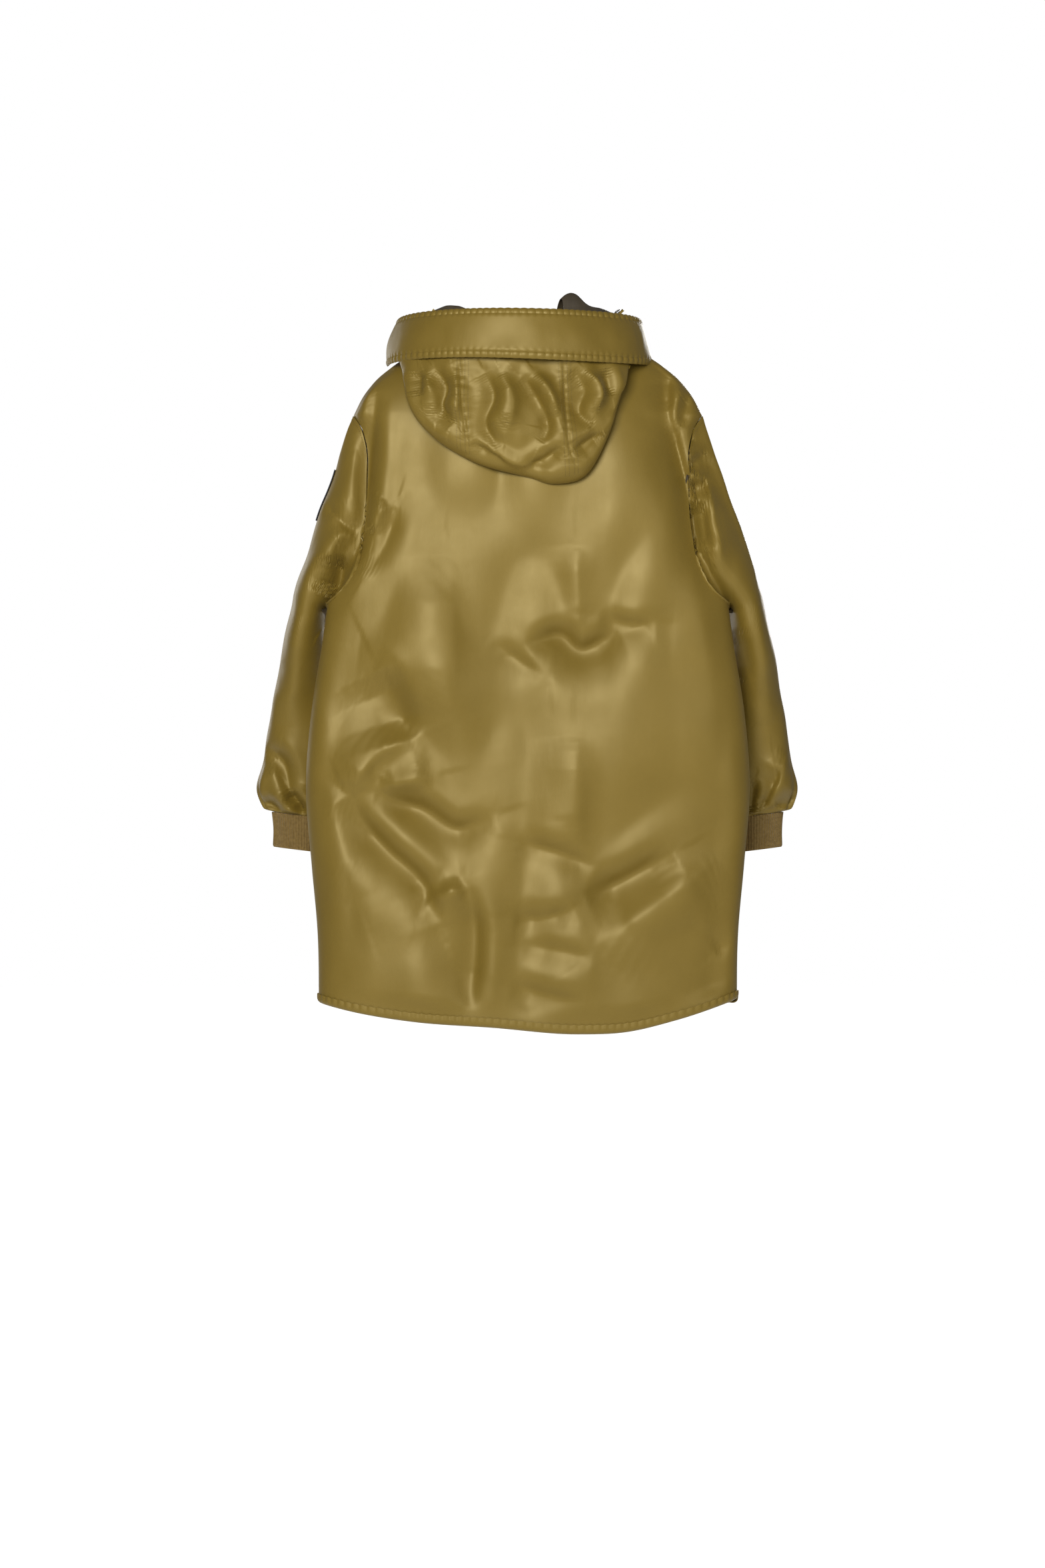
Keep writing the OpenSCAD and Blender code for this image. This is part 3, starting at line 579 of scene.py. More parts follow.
# ---------- the other cloth of the body ----------

FRONT_FOLDS = [
    # the drape below each drop shoulder and over the stomach
    fold(-14, 16, (205, -110), (214, -200), (226, -290), (262, -365)),
    fold(8, 24, (130, -120), (120, -260), (135, -400)),
    fold(-8, 18, (85, -180), (100, -300), (70, -400)),
    fold(-7, 16, (240, -420), (170, -460), (90, -440)),
    fold(-9, 18, (255, -600), (230, -700), (250, -800)),
    fold(8, 24, (205, -760), (170, -840), (180, -930)),
    fold(-7, 16, (70, -780), (95, -860), (85, -935)),
    fold(-5, 12, (110, -45), (145, -85), (200, -105)),
]


def front_grid(side, off, low, high, s, v):
    return on_side(torso_grid(False, FRONT_EDGE, off, low, high, s, v), side)


def front_relief(grid, s, v, side):
    """How far the folds lift a front's plain surface. Over the pocket and by the zip it stays flat."""
    hold = between_seams(v) * step(1.0, 0.86, s)
    folds = FRONT_FOLDS if side > 0 else mirrored(FRONT_FOLDS)
    x, z = np.abs(grid[..., 0]), grid[..., 2]
    height = fold_height(folds, grid[..., 0], z) + 0.6 * waves(grid, 21.0)
    over_pocket = step(0.235, 0.205, x) * step(-0.775, -0.745, z) * step(-0.515, -0.545, z)
    return height * hold * (1 - over_pocket) * step(0.03, 0.06, x)


def front_panel(side, word):
    s = np.sin(np.linspace(0, math.pi / 2, 101))
    v = denser_up(241)
    grid = front_grid(side, 0, HEM_BAND - 0.002, None, s, v)
    grid[..., 1] -= front_relief(grid, s, v, side)
    parts = [cloth(grid, SHELL_T, SATIN, flip=side < 0)]
    for column in (3, 5):
        parts.append(stitches(grid[:, column] - [0, 0.0006, 0]))
    piece = make_piece(f"front_panel_{word}", parts)
    place(piece, "coat_body", "satin_shell", f"front_shell_{word}", f"front_wadding_{word}")


def lining_panels():
    """The lining hangs inside the shell and follows its folds, with finer creases of its own."""
    s = np.sin(np.linspace(-math.pi / 2, math.pi / 2, 81))
    v = denser_up(121)
    grid = torso_grid(True, 0, LINING_IN + 0.016, 0.004, None, s, v)
    hold = between_seams(v, 0.97) * step(1.0, 0.9, np.abs(s))
    grid[..., 1] += back_relief(grid, v) - 0.004 * np.abs(crumple(grid, 0.05, (1, 1, 2.5), 4.0)) * hold
    piece = make_piece("back_lining_panel", [cloth(grid, LINING_T, TAFFETA, flip=True)])
    place(piece, "coat_body", "taffeta_lining", "back_lining")
    for side, word in ((1, "left"), (-1, "right")):
        s = np.sin(np.linspace(math.radians(13), math.pi / 2, 51))
        grid = front_grid(side, LINING_IN + 0.014, 0.004, None, s, v)
        hold = between_seams(v, 0.97) * step(1.0, 0.9, s)
        creases = 0.003 * np.abs(crumple(grid, 0.05, (1, 1, 2.5), 6.0)) * hold
        grid[..., 1] += creases - front_relief(grid, s, v, side)
        piece = make_piece(f"front_lining_panel_{word}", [cloth(grid, LINING_T, TAFFETA, flip=side < 0)])
        place(piece, "coat_body", "taffeta_lining", f"front_lining_{word}")
        s = np.sin(np.linspace(0, math.radians(13.4), 12))
        grid = front_grid(side, LINING_IN + 0.012, 0.004, None, s, v)
        parts = [cloth(grid, 0.0015, SATIN, flip=side < 0),
                 stitches(grid[:, -2] + [0, 0.002, 0])]
        piece = make_piece(f"front_facing_panel_{word}", parts)
        place(piece, "coat_body", "satin_shell", f"front_facing_{word}")


def hem_band(name, is_back, side, node):
    """A bound hem: a soft roll that turns round the lower edge, gathered at its upper seam."""
    s = np.linspace(-1 if is_back else 0, 1, 420 if is_back else 220)
    s = np.sign(s) * np.sin(np.abs(s) * math.pi / 2)
    near = 0 if is_back else FRONT_EDGE
    outer, inner = (torso_grid(is_back, near, off, 0, 1e-4, s, np.array([0, 1.0]))[0]
                    for off in (0, HEM_DEPTH))
    along = lengths_along(outer)
    pucker = 0.5 + 0.5 * np.sin(2 * math.pi * along / HEM_PUCKER + 1.7 * np.sin(along * 31))
    top = HEM_BAND * (1 - 0.10 * pucker)
    out = (outer - inner) / (np.linalg.norm(outer - inner, axis=1)[:, None] + 1e-9)
    rows = []
    for angle in np.linspace(0, 1, 17) * math.pi:
        mix = 0.5 - 0.5 * math.cos(angle)
        drop = math.sin(angle)
        row = outer * (1 - mix) + inner * mix
        row[:, 2] += top - top * drop**0.55
        bulge = 0.0016 * math.cos(angle) * (0.4 + 0.6 * drop) - 0.0012 * pucker * (1 - drop) * math.cos(angle)
        row += out * bulge[:, None]
        rows.append(row)
    grid = on_side(np.stack(rows), side)
    parts = [cloth(grid, 0.0018, SATIN, flip=(side > 0) == is_back), stitches(grid[3] * 1.0015)]
    piece = make_piece(name, parts, 70)
    place(piece, "coat_body", "satin_shell", node)


# ---------- sleeves ----------

SLEEVE_FOLDS_LEFT = LEFT_CREASE + [
    fold(7, 13, (240, -125), (242, -200), (239, -268)),
    fold(-8, 9, (282, -224), (261, -256), (234, -274)),
    fold(6, 9, (279, -238), (256, -268), (238, -283)),
    fold(8, 10, (236, -277), (258, -278), (273, -304), (273, -345)),
    fold(-16, 12, (260, -300), (259, -330), (268, -362)),
    fold(6, 20, (322, -380), (330, -470), (342, -540)),
    fold(-6, 18, (352, -440), (360, -500)),
    fold(-9, 9, (372, -564), (343, -585), (333, -624), (320, -644)),
    fold(8, 12, (366, -585), (350, -615), (336, -648)),
    fold(-12, 6, (334, -622), (322, -642), (312, -662)),
    fold(-9, 6, (373, -634), (362, -642), (345, -660)),
    fold(-7, 6, (302, -620), (308, -640), (311, -660)),
]
SLEEVE_FOLDS_RIGHT = RIGHT_CREASE + [
    fold(-7, 8, (-205, -138), (-230, -147)),
    fold(7, 8, (-211, -170), (-230, -163), (-249, -153)),
    fold(-9, 9, (-220, -187), (-248, -157)),
    fold(7, 8, (-216, -193), (-248, -197)),
    fold(-13, 10, (-224, -208), (-248, -204)),
    fold(8, 11, (-250, -200), (-254, -245), (-263, -298), (-250, -320)),
    fold(-16, 13, (-238, -225), (-242, -262), (-248, -300)),
    fold(7, 20, (-318, -360), (-326, -450), (-338, -540)),
    fold(-7, 16, (-290, -400), (-300, -480)),
    fold(9, 11, (-366, -570), (-352, -606), (-330, -645)),
    fold(-12, 7, (-352, -596), (-338, -625), (-323, -660)),
    fold(-9, 6, (-320, -612), (-316, -640), (-318, -660)),
    fold(-8, 6, (-372, -630), (-350, -656)),
]
SLEEVE_FRONT_FOLDS = [
    fold(-10, 12, (232, -200), (262, -250), (300, -270)),
    fold(8, 14, (240, -290), (275, -330), (318, -350)),
    fold(-10, 12, (275, -400), (305, -430), (340, -430)),
    fold(-8, 12, (285, -480), (320, -520), (355, -520)),
    fold(-10, 8, (360, -575), (335, -620), (325, -655)),
    fold(-10, 7, (290, -600), (305, -630), (312, -658)),
]


sleeve_inner, sleeve_mid, sleeve_half = map(smooth_curve, (SLEEVE_INNER, SLEEVE_MID_Y, SLEEVE_HALF_D))


def armhole_ring(angle):
    """The armhole seam: from the shoulder over the back to the underarm and up the front."""
    z = SHOULDER_Z - 0.001 - (SHOULDER_Z - UNDERARM_Z - 0.002) * (1 - np.cos(angle)) / 2
    x = edge_half(z, 0)
    h = SHOULDER_Z - z
    y = np.where(angle <= math.pi, back_y(x, z, h, 0), front_y(x, z, h, 0))
    return np.stack([x, y, z], -1)


def wrist_ring(angle, off):
    u = (WRIST_HALF_W - off) * np.cos(angle)
    return np.stack([WRIST.x + u * math.cos(CUFF_TILT),
                     WRIST.y + (WRIST_HALF_D - off) * np.sin(angle),
                     WRIST.z + u * math.sin(CUFF_TILT)], -1)


def sleeve_outer(z):
    """Outer side of the hanging sleeve at a height."""
    g = np.clip((SHOULDER_Z - z) / (SHOULDER_Z - WRIST_OUTER_Z), 0, 1)
    start, end = ARM_TOP_X + SLEEVE_START, WRIST.x + WRIST_HALF_W * math.cos(CUFF_TILT)
    return start + (end - start) * g + SLEEVE_FULL * np.minimum(1, g / 0.45) * (1 - g**12)


def sleeve_grid(rows, ring):
    """The sleeve's plain surface for the wearer's left. From the armhole's ring it turns into level rings
    that hang beside the body."""
    g, angle = np.meshgrid(rows, ring, indexing="ij")
    start, end = armhole_ring(angle) + [SLEEVE_START, 0, 0], wrist_ring(angle, 0)
    z = start[..., 2] + (end[..., 2] - start[..., 2]) * g
    outer, inner = sleeve_outer(z), sleeve_inner(z)
    swell_out = (outer - sleeve_outer(start[..., 2])) * np.clip(np.cos(angle), 0, 1) ** 0.7
    level = np.stack([(outer + inner) / 2 + (outer - inner) / 2 * np.cos(angle),
                      sleeve_mid(z) + sleeve_half(z) * np.sin(angle), z], 2)
    near = np.stack([start[..., 0] + swell_out, start[..., 1], z], 2)
    left = step(start[..., 2], LEAVE_Z, z)[..., None]
    return near + (level - near) * left


def place_on_sleeve(piece, side, word, slot, *nodes):
    """The piece stands for those CAD nodes; its transform is baked into its mesh."""
    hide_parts(*nodes)
    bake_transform(piece)


def sleeve_relief(grid, g, ring, side):
    """How far the folds lift the sleeve's back and front, matching the body's folds at the seam."""
    folds = SLEEVE_FOLDS_LEFT if side > 0 else mirrored(SLEEVE_FOLDS_RIGHT)
    facing = np.sin(ring)[None, :]
    held = side_share(grid[:1, :, 0], grid[:1, :, 2])
    left = step(grid[:1, :, 2], LEAVE_Z, grid[..., 2])
    rise = waves(on_side(grid, side))
    x, z = grid[..., 0], grid[..., 2]
    tight = step(1.0, 0.97, g)[:, None]
    back = (fold_height(folds, x, z) + rise) * step(0, 0.45, facing) * (held + (1 - held) * left)
    front = (fold_height(SLEEVE_FRONT_FOLDS, x, z) + rise) * step(0, 0.45, -facing)
    front = front * step(0, 0.06, g)[:, None]
    return (back - front) * tight


def sleeve(side, word):
    ring = ring_angles(SLEEVE_COLUMNS)
    g = 1 - (1 - np.linspace(0, 1, 231)) ** 1.15
    grid = sleeve_grid(g, ring)
    up = (1 - g)[:, None]
    loose = between_seams(g)
    lift = sleeve_relief(grid, g, ring, side)
    # gathers above the rib cuff, deeper as they near it; the cloth bags over it and turns in at its seam
    gather = np.sin(11 * ring + 2.2 * np.sin(3 * ring) + side)[None, :]
    out = 0.0055 * gather * np.exp(-up / 0.045) * loose
    out += 0.009 * np.exp(-((up - 0.060) / 0.050) ** 2) - 0.004 * np.exp(-up / 0.006)
    out += 0.0022 * crumple(grid, 0.035, (1, 1, 1.5), 37.0 + side) * loose
    grid -= normals_of(grid, True) * out[..., None]
    grid[..., 1] += lift
    grid = on_side(grid, side)
    parts = [cloth(grid, SHELL_T, SATIN, wrap=True, flip=side > 0)]
    row = np.concatenate([grid[2], grid[2][:1]])
    parts.append(stitches((row - row.mean(0)) * 1.004 + row.mean(0)))
    piece = make_piece(f"sleeve_panel_{word}", parts)
    place_on_sleeve(piece, side, word, "satin_shell", f"sleeve_back_{word}", f"sleeve_front_{word}",
                    f"sleeve_wadding_{word}")
    return grid


def sleeve_lining(side, word):
    ring, g = ring_angles(64), np.linspace(0.02, 1, 81)
    grid = sleeve_grid(g, ring)
    lift = sleeve_relief(grid, g, ring, side)
    grid += normals_of(grid, True) * (0.010 - 0.004 * g[:, None, None])
    grid[..., 1] += lift
    grid = on_side(grid, side)
    parts = [cloth(grid, LINING_T, TAFFETA, wrap=True, flip=side > 0)]
    piece = make_piece(f"sleeve_lining_panel_{word}", parts)
    place_on_sleeve(piece, side, word, "taffeta_lining", f"sleeve_lining_{word}")


def rib_cuff(side, word):
    """A knitted tube whose ribs are real ridges. It hangs straight down from the sleeve's seam."""
    ribs = 62
    ring = ring_angles(6 * ribs)
    share = np.linspace(-0.02, 1, 26)
    rows = []
    for t in share:
        off = 0.0020 + 0.0018 * max(t, 0) + 0.0012 * math.sin(math.pi * max(t, 0))
        rows.append(wrist_ring(ring, off) - np.array([0, 0, 0.001 + CUFF_H * t]))
    grid = np.stack(rows)
    wave = np.cos(ribs * ring)[None, :] * np.clip(1.2 - share[:, None] ** 14, 0.3, 1)
    sag = 0.00055 * wave + 0.0011 * crumple(grid, 0.02, (1, 1, 2), 3.0 + side)
    grid -= normals_of(grid, True) * sag[..., None]
    grid[-1] += (grid[-1].mean(0) - grid[-1]) * 0.03
    grid = on_side(grid, side)
    piece = make_piece(f"knit_cuff_{word}", [cloth(grid, 0.0032, RIB, wrap=True, flip=side > 0)], 80)
    place(piece, f"sleeve_{word}", "rib_knit", f"rib_cuff_{word}")


def sleeve_label(sleeve_face):
    """A plain woven label on the wearer's left sleeve, from its outer line towards the front."""
    turn = np.degrees(ring_angles(SLEEVE_COLUMNS))
    front = [k for k in range(SLEEVE_COLUMNS) if turn[k] >= LABEL_TURN] + [0]
    heights = np.linspace(LABEL_TOP, LABEL_TOP - LABEL_H, 41)
    columns = []
    for k in front:
        line = sleeve_face[:, k]
        columns.append(np.stack([np.interp(-heights, -line[:, 2], line[:, axis]) for axis in range(3)], 1))
    grid = np.stack(columns, 1)
    grid = grid - normals_of(grid, False) * 0.0022
    parts = [cloth(grid, 0.0012, BLACK, flip=True)]
    edge = np.concatenate([grid[2:-2, 2], grid[-3, 2:-2], grid[-3:2:-1, -3], grid[2, -3:2:-1]])
    parts.append(stitches(edge + [0.0006, 0, 0], 0.0026, 0.0003, BLACK))
    piece = make_piece("label_patch", parts)
    place_on_sleeve(piece, 1, "left", "black_label", "sleeve_label")


# ---------- hood ----------

# The hood's hanging outline, from the wearer's left to the right: distance from the middle, height.
HOOD_OUTLINE = [(0.172, -0.030), (0.163, -0.088), (0.152, -0.119), (0.124, -0.149),
                (0.090, -0.171), (0.055, -0.186), (-0.001, -0.200), (-0.036, -0.209),
                (-0.078, -0.198), (-0.106, -0.150), (-0.124, -0.088), (-0.138, -0.030)]
RIM_Z = 0.022               # height of the hood's mouth
RIM_HALF = 0.160            # its half width and its reach behind the middle plane
RIM_BACK = 0.128
BRIM_DROP = 0.060           # height of the turned-back band
HOOD_END = math.radians(84)     # the mouth's ends, seen from above, from straight back

HOOD_FOLDS = [
    fold(-9, 9, (128, -52), (112, -78), (118, -104), (98, -130)),
    fold(8, 9, (140, -60), (129, -90), (128, -118)),
    fold(-6, 7, (150, -52), (146, -90)),
    fold(8, 10, (100, -60), (94, -95), (104, -128)),
    fold(-9, 9, (60, -58), (46, -92), (58, -128), (40, -166)),
    fold(8, 11, (36, -60), (20, -98), (28, -140)),
    fold(-10, 9, (12, -66), (-12, -92), (-28, -132), (-16, -158)),
    fold(-10, 9, (6, -197), (-20, -180), (-50, -160)),
    fold(9, 10, (-10, -60), (-30, -88), (-42, -120)),
    fold(-10, 9, (-58, -54), (-78, -80), (-72, -112), (-90, -134)),
    fold(9, 9, (-76, -56), (-96, -84), (-90, -115)),
    fold(-8, 8, (-60, -168), (-84, -152), (-106, -140)),
    fold(-7, 7, (-108, -50), (-116, -90)),
    fold(7, 9, (70, -150), (30, -178), (-10, -188)),
    fold(-6, 7, (80, -155), (50, -170), (20, -190)),
]
HOOD_SEAMS = np.array([[(94, -30), (90, -80), (86, -130), (79, -176)],
                       [(-47, -30), (-51, -90), (-56, -158), (-73, -200)]]) / 1000

outline_line = smooth_line(HOOD_OUTLINE, 20)
outline_lengths = lengths_along(outline_line)


def outline_at(u):
    """Point of the hood's outline at u, 0 at the wearer's left and 1 at the right."""
    return (np.interp(u * outline_lengths[-1], outline_lengths, column) for column in outline_line.T)


def hood_grid(u, t):
    """Back of the hanging hood: t is 0 at its folded bottom and 1 at the rim."""
    t, u = np.meshgrid(t, u, indexing="ij")
    x0, z0 = outline_at(u)
    y0 = back_y(x0 - HOOD_SHIFT, z0, ridge(x0) - z0, 0) + 0.014
    angle = HOOD_END * (1 - 2 * u)
    x1 = RIM_HALF * np.sin(angle) + HOOD_SHIFT
    y1 = RIM_BACK * np.cos(angle)
    roll = np.sqrt(1 - (1 - np.clip(t / 0.16, 0, 1)) ** 2)
    deep = 0.021 * roll * (1 - t) ** 0.5 + 0.012 * np.sin(math.pi * t) * (1 - t)
    return np.stack([x0 + (x1 - x0) * t + 0.3 * deep * np.sin(angle),
                     y0 + (y1 - y0) * t**1.15 + deep * np.cos(angle) ** 0.7,
                     z0 + (RIM_Z - 0.004 - z0) * t], 2)


def hood_back():
    u, t = np.linspace(0, 1, 301), np.linspace(0, 1, 171)
    grid = hood_grid(u, t)
    x, z = grid[..., 0], grid[..., 2]
    hold = step(0, 0.10, t) * step(1, 0.72, t)
    height = fold_height(HOOD_FOLDS, x, z, 1.6)
    height += 0.006 * crumple(grid, 0.05, seed=11.0) + 0.0014 * crumple(grid, 0.018, seed=15.0)
    for seam in HOOD_SEAMS:
        height += fold_height([{"height": -0.0022, "width": 0.0026, "lean": 0, "points": seam}], x, z, 1.0)
        line = smooth_line(seam)
        near = np.sqrt(((np.stack([x, z], -1)[:, :, None] - line[None, None, ::3]) ** 2).sum(-1)).min(-1)
        height += 0.0006 * np.exp(-(near / 0.009) ** 2) * np.sin(z * 2 * math.pi / 0.012 + 9 * x)
    hold = hold[:, None] * step(0, 0.05, u)[None, :] * step(1, 0.95, u)[None, :]
    return grid + normals_of(grid, False) * (height * hold)[..., None], u


def hood():
    grid, u = hood_back()
    cuts = [0]
    for seam in HOOD_SEAMS:
        cuts.append(int(np.abs(grid[85][:, 0] - seam[1][0]).argmin()))
    cuts.append(len(u) - 1)
    panels = (("hood_side_panel_left", "hood_side_left", 0.0225),
              ("hood_middle_panel", "hood_center_panel", 0.0345),
              ("hood_side_panel_right", "hood_side_right", 0.0225))
    for (name, node, area), start, end in zip(panels, cuts, cuts[1:]):
        parts = [cloth(grid[:, start:end + 1], SHELL_T, SATIN)]
        for edge, inward in ((start, 1), (end, -1)):
            if edge in (0, len(u) - 1):
                continue
            for away in (2, 5):
                line = grid[6:-2, edge + inward * away] + [0, 0.0005, 0]
                parts.append(stitches(line, 0.003, 0.0003))
        piece = make_piece(name, parts)
        place(piece, "hood", "satin_shell", node)


SATIN_ROWS = 34             # rows of a lining roll, from its outer end, that are satin


def lining_roll(side, word, middle_x, rise):
    """Cloth bunched at the neck seam, inside the hood's mouth: a low arch along the band that swells at one
    place. Its outer end is satin."""
    w, k = np.meshgrid(np.linspace(0, 1, 91), np.linspace(0, 1, 31), indexing="ij")
    a = np.radians(86 - 62 * w)
    x = RIM_HALF * np.sin(a)
    swell_up = np.exp(-((x - middle_x) / 0.030) ** 2)
    edge_up = 0.45 * np.exp(-((x - 0.135) / 0.022) ** 2)
    arch = np.sin(math.pi * k) ** 0.7
    reach = 0.965 - 0.24 * k
    high = (0.004 + rise * np.clip(swell_up + edge_up, 0, 1)) * arch
    grid = np.stack([x * reach + HOOD_SHIFT * side, RIM_BACK * np.cos(a) * reach,
                     RIM_Z - 0.006 + high - 0.022 * k**3], 2)
    grid += 0.0040 * crumple(grid, 0.034, seed=45.0 + side)[..., None] * np.array([0.6, 0.6, 1.0])
    grid = on_side(grid, side)
    parts = [cloth(grid[:SATIN_ROWS + 1], LINING_T, SATIN, flip=side > 0),
             cloth(grid[SATIN_ROWS:], LINING_T, TAFFETA, flip=side > 0)]
    piece = make_piece(f"neck_lining_roll_{word}", parts)
    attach(piece, "coat_body")


def hood_lining():
    """The lining of the hood, inside its hollow."""
    names = (("left", 0.0, 0.36, 0.0170), ("center", 0.355, 0.645, 0.0266), ("right", 0.64, 0.95, 0.0138))
    for word, low, high, area in names:
        u, t = np.linspace(low, high, 61), np.linspace(0.12, 1, 61)
        face = hood_grid(u, t)
        angle = HOOD_END * (1 - 2 * u)
        depth = 0.020 * np.cos(angle)[None, :] ** 0.7
        face[..., 1] -= depth * (0.2 + 0.8 * np.sin(math.pi * t))[:, None] + 0.006
        face[..., 0] -= 0.010 * np.sin(angle)[None, :]
        face[..., 1] += 0.003 * crumple(face, 0.02, seed=5.0)
        piece = make_piece(f"hood_lining_panel_{word}", [cloth(face, LINING_T, TAFFETA, flip=True)])
        place(piece, "hood", "taffeta_lining", f"hood_lining_{word}")


def hood_neck_panel():
    """The hood's inner layer, from the neck seam down the coat's back to the hood's folded bottom. It keeps
    the hood joined to the neck."""
    t, u = np.meshgrid(np.linspace(0, 1, 61), np.linspace(0.04, 0.96, 141), indexing="ij")
    x1, z1 = outline_at(u)
    x0 = 1.03 * NECK_HALF * np.sin(HOOD_END * (1 - 2 * u))
    z0 = back_top(x0) - 0.002
    x = x0 + (0.985 * x1 - x0) * t
    z = z0 + (z1 + 0.006 - z0) * t
    grid = np.stack([x, back_y(x - HOOD_SHIFT * t, z, ridge(x) - z, 0) + 0.004 + 0.009 * t, z], 2)
    grid[..., 1] += 0.004 * crumple(grid, 0.03, seed=61.0) * np.sin(math.pi * t)
    piece = make_piece("hood_neck_panel", [cloth(grid, 0.0012, SATIN)])
    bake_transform(piece)


BRIM_PUCKER = 0.0095        # length of one pucker along the band


def hood_brim():
    """The turned-back band round the hood's opening: a double layer, topstitched along both edges."""
    u = np.linspace(-0.012, 1.012, 361)
    angle = HOOD_END * (1 - 2 * u) * 1.02
    down = np.concatenate([np.linspace(0, 0.12, 8)[:-1], np.linspace(0.12, 0.84, 26)[:-1],
                           np.linspace(0.84, 1, 14)])
    t, a = np.meshgrid(down, angle, indexing="ij")
    stand = 0.006 + 0.009 * t + 0.003 * np.sin(math.pi * t)
    sag = 0.005 * np.cos(a * 1.1) - 0.003 * np.sin(2.2 * a)
    grid = np.stack([(RIM_HALF + stand + 0.006 * t) * np.sin(a) + HOOD_SHIFT,
                     (RIM_BACK + 0.004 + stand) * np.cos(a),
                     RIM_Z + 0.003 - BRIM_DROP * t - sag * (0.3 + 0.7 * t)], 2)
    along = lengths_along(grid[0])
    pucker = np.sin(2 * math.pi * along / BRIM_PUCKER + 2.0 * np.sin(along * 40))[None, :]
    height = -0.0012 * np.exp(-((t - 0.085) / 0.030) ** 2) - 0.0018 * np.exp(-((t - 0.905) / 0.022) ** 2)
    height += 0.0007 * pucker * (np.exp(-((t - 0.93) / 0.07) ** 2) + np.exp(-((t - 0.06) / 0.06) ** 2))
    soft = np.sin(math.pi * np.clip((t - 0.1) / 0.8, 0, 1))
    height += soft * (0.0040 * crumple(grid, 0.055, (1, 1, 2.2), 41.0)
                      + 0.0007 * crumple(grid, 0.02, (1, 1, 2), 43.0))
    round_edge = -0.0012 * (np.exp(-t / 0.02) + np.exp(-(1 - t) / 0.012))
    grid -= normals_of(grid, False) * (height + round_edge)[..., None]
    parts = [cloth(grid, 0.0042, SATIN)]
    for place_at in (0.085, 0.905, 0.965):
        row = grid[int(np.abs(down - place_at).argmin())]
        out = np.stack([np.sin(angle), np.cos(angle), 0 * angle], 1)
        parts.append(stitches(row + out * 0.0005, 0.0032, 0.0003))
    piece = make_piece("hood_band", parts, 60)
    place(piece, "hood", "satin_shell", "hood_brim")


# ---------- collar, neck tape and loop ----------

COLLAR_END = 96             # degrees from straight back to the collar's end
COLLAR_LIFT = 0.009


def collar_grid(side, off, columns, rows):
    """The standing collar from the side of the neck to the zip; its top edge dips and rolls a little."""
    angle = np.radians(np.linspace(COLLAR_END - 6, 180, columns))
    t, a = np.meshgrid(np.linspace(0, 1, rows), angle, indexing="ij")
    x = np.maximum(FRONT_EDGE, NECK_HALF * np.sin(a))
    top = front_top(x)
    y = front_y(x, top, ridge(x) - top, 0)
    lean = 1 + 0.5 * t * np.sin(a) ** 2
    height = 0.030 + 0.025 * (np.degrees(a) - COLLAR_END) / (180 - COLLAR_END)
    wave = 0.005 * np.sin(5 * a + side) * t
    grid = np.stack([x * lean - off * np.sin(a), y + off * np.clip(-np.cos(a), 0, 1) - 0.010 * t * np.sin(a),
                     top + COLLAR_LIFT * (0.2 + 0.8 * t) + (height + wave) * t], 2)
    return on_side(grid, side)


def collar(side, word):
    grid = collar_grid(side, 0, 91, 41)
    grid += normals_of(grid, False) * (0.0022 * crumple(grid, 0.03, seed=51.0 + side))[..., None]
    row = collar_grid(side, -0.0006, 91, 41)
    parts = [cloth(grid, 0.0028, SATIN, flip=side < 0), stitches(row[36]), stitches(row[4])]
    piece = make_piece(f"collar_panel_{word}", parts)
    place(piece, "coat_body", "satin_shell", f"collar_{word}")
    grid = collar_grid(side, 0.0042, 61, 25)
    grid += normals_of(grid, False) * (0.0018 * crumple(grid, 0.02, seed=55.0))[..., None]
    piece = make_piece(f"collar_lining_panel_{word}", [cloth(grid, LINING_T, TAFFETA, flip=side < 0)])
    place(piece, "coat_body", "taffeta_lining", f"collar_lining_{word}")


def ribbon(name, node, path, across):
    """A flat ribbon along a path; across is its half width as a vector."""
    grid = np.stack([path + np.array(across) * k for k in np.linspace(-1, 1, 9)], 1)
    piece = make_piece(name, [cloth(grid, 0.0011, TAPE)])
    place(piece, "coat_body", "woven_tape", node)


def neck_tape_and_loop():
    low, high = (np.array(corner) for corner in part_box("neck_tape"))
    x = np.linspace(low[0], high[0], 49)
    y = low[1] + (high[1] - low[1] - 0.0013) * (1 - (x / high[0]) ** 2)
    middle = np.stack([x, y, np.full_like(x, (low[2] + high[2]) / 2)], 1)
    ribbon("neck_tape_band", "neck_tape", middle, (0, 0, (high[2] - low[2]) / 2))
    low, high = (np.array(corner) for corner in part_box("hanger_loop"))
    turn = np.linspace(0, math.pi, 49)
    x = high[0] * np.cos(turn) * 0.985
    z = high[2] - (high[2] - low[2]) * np.sin(turn) * 0.985
    path = np.stack([x, np.full_like(x, (low[1] + high[1]) / 2), z], 1)
    ribbon("loop_ribbon", "hanger_loop", path, (0, (high[1] - low[1]) / 2, 0))


# ---------- closures and pockets ----------

FLAP_ROOT_X = 0.033         # hinge line of the storm flap
FLAP_FACE_Y = -0.0966       # its plain outer face


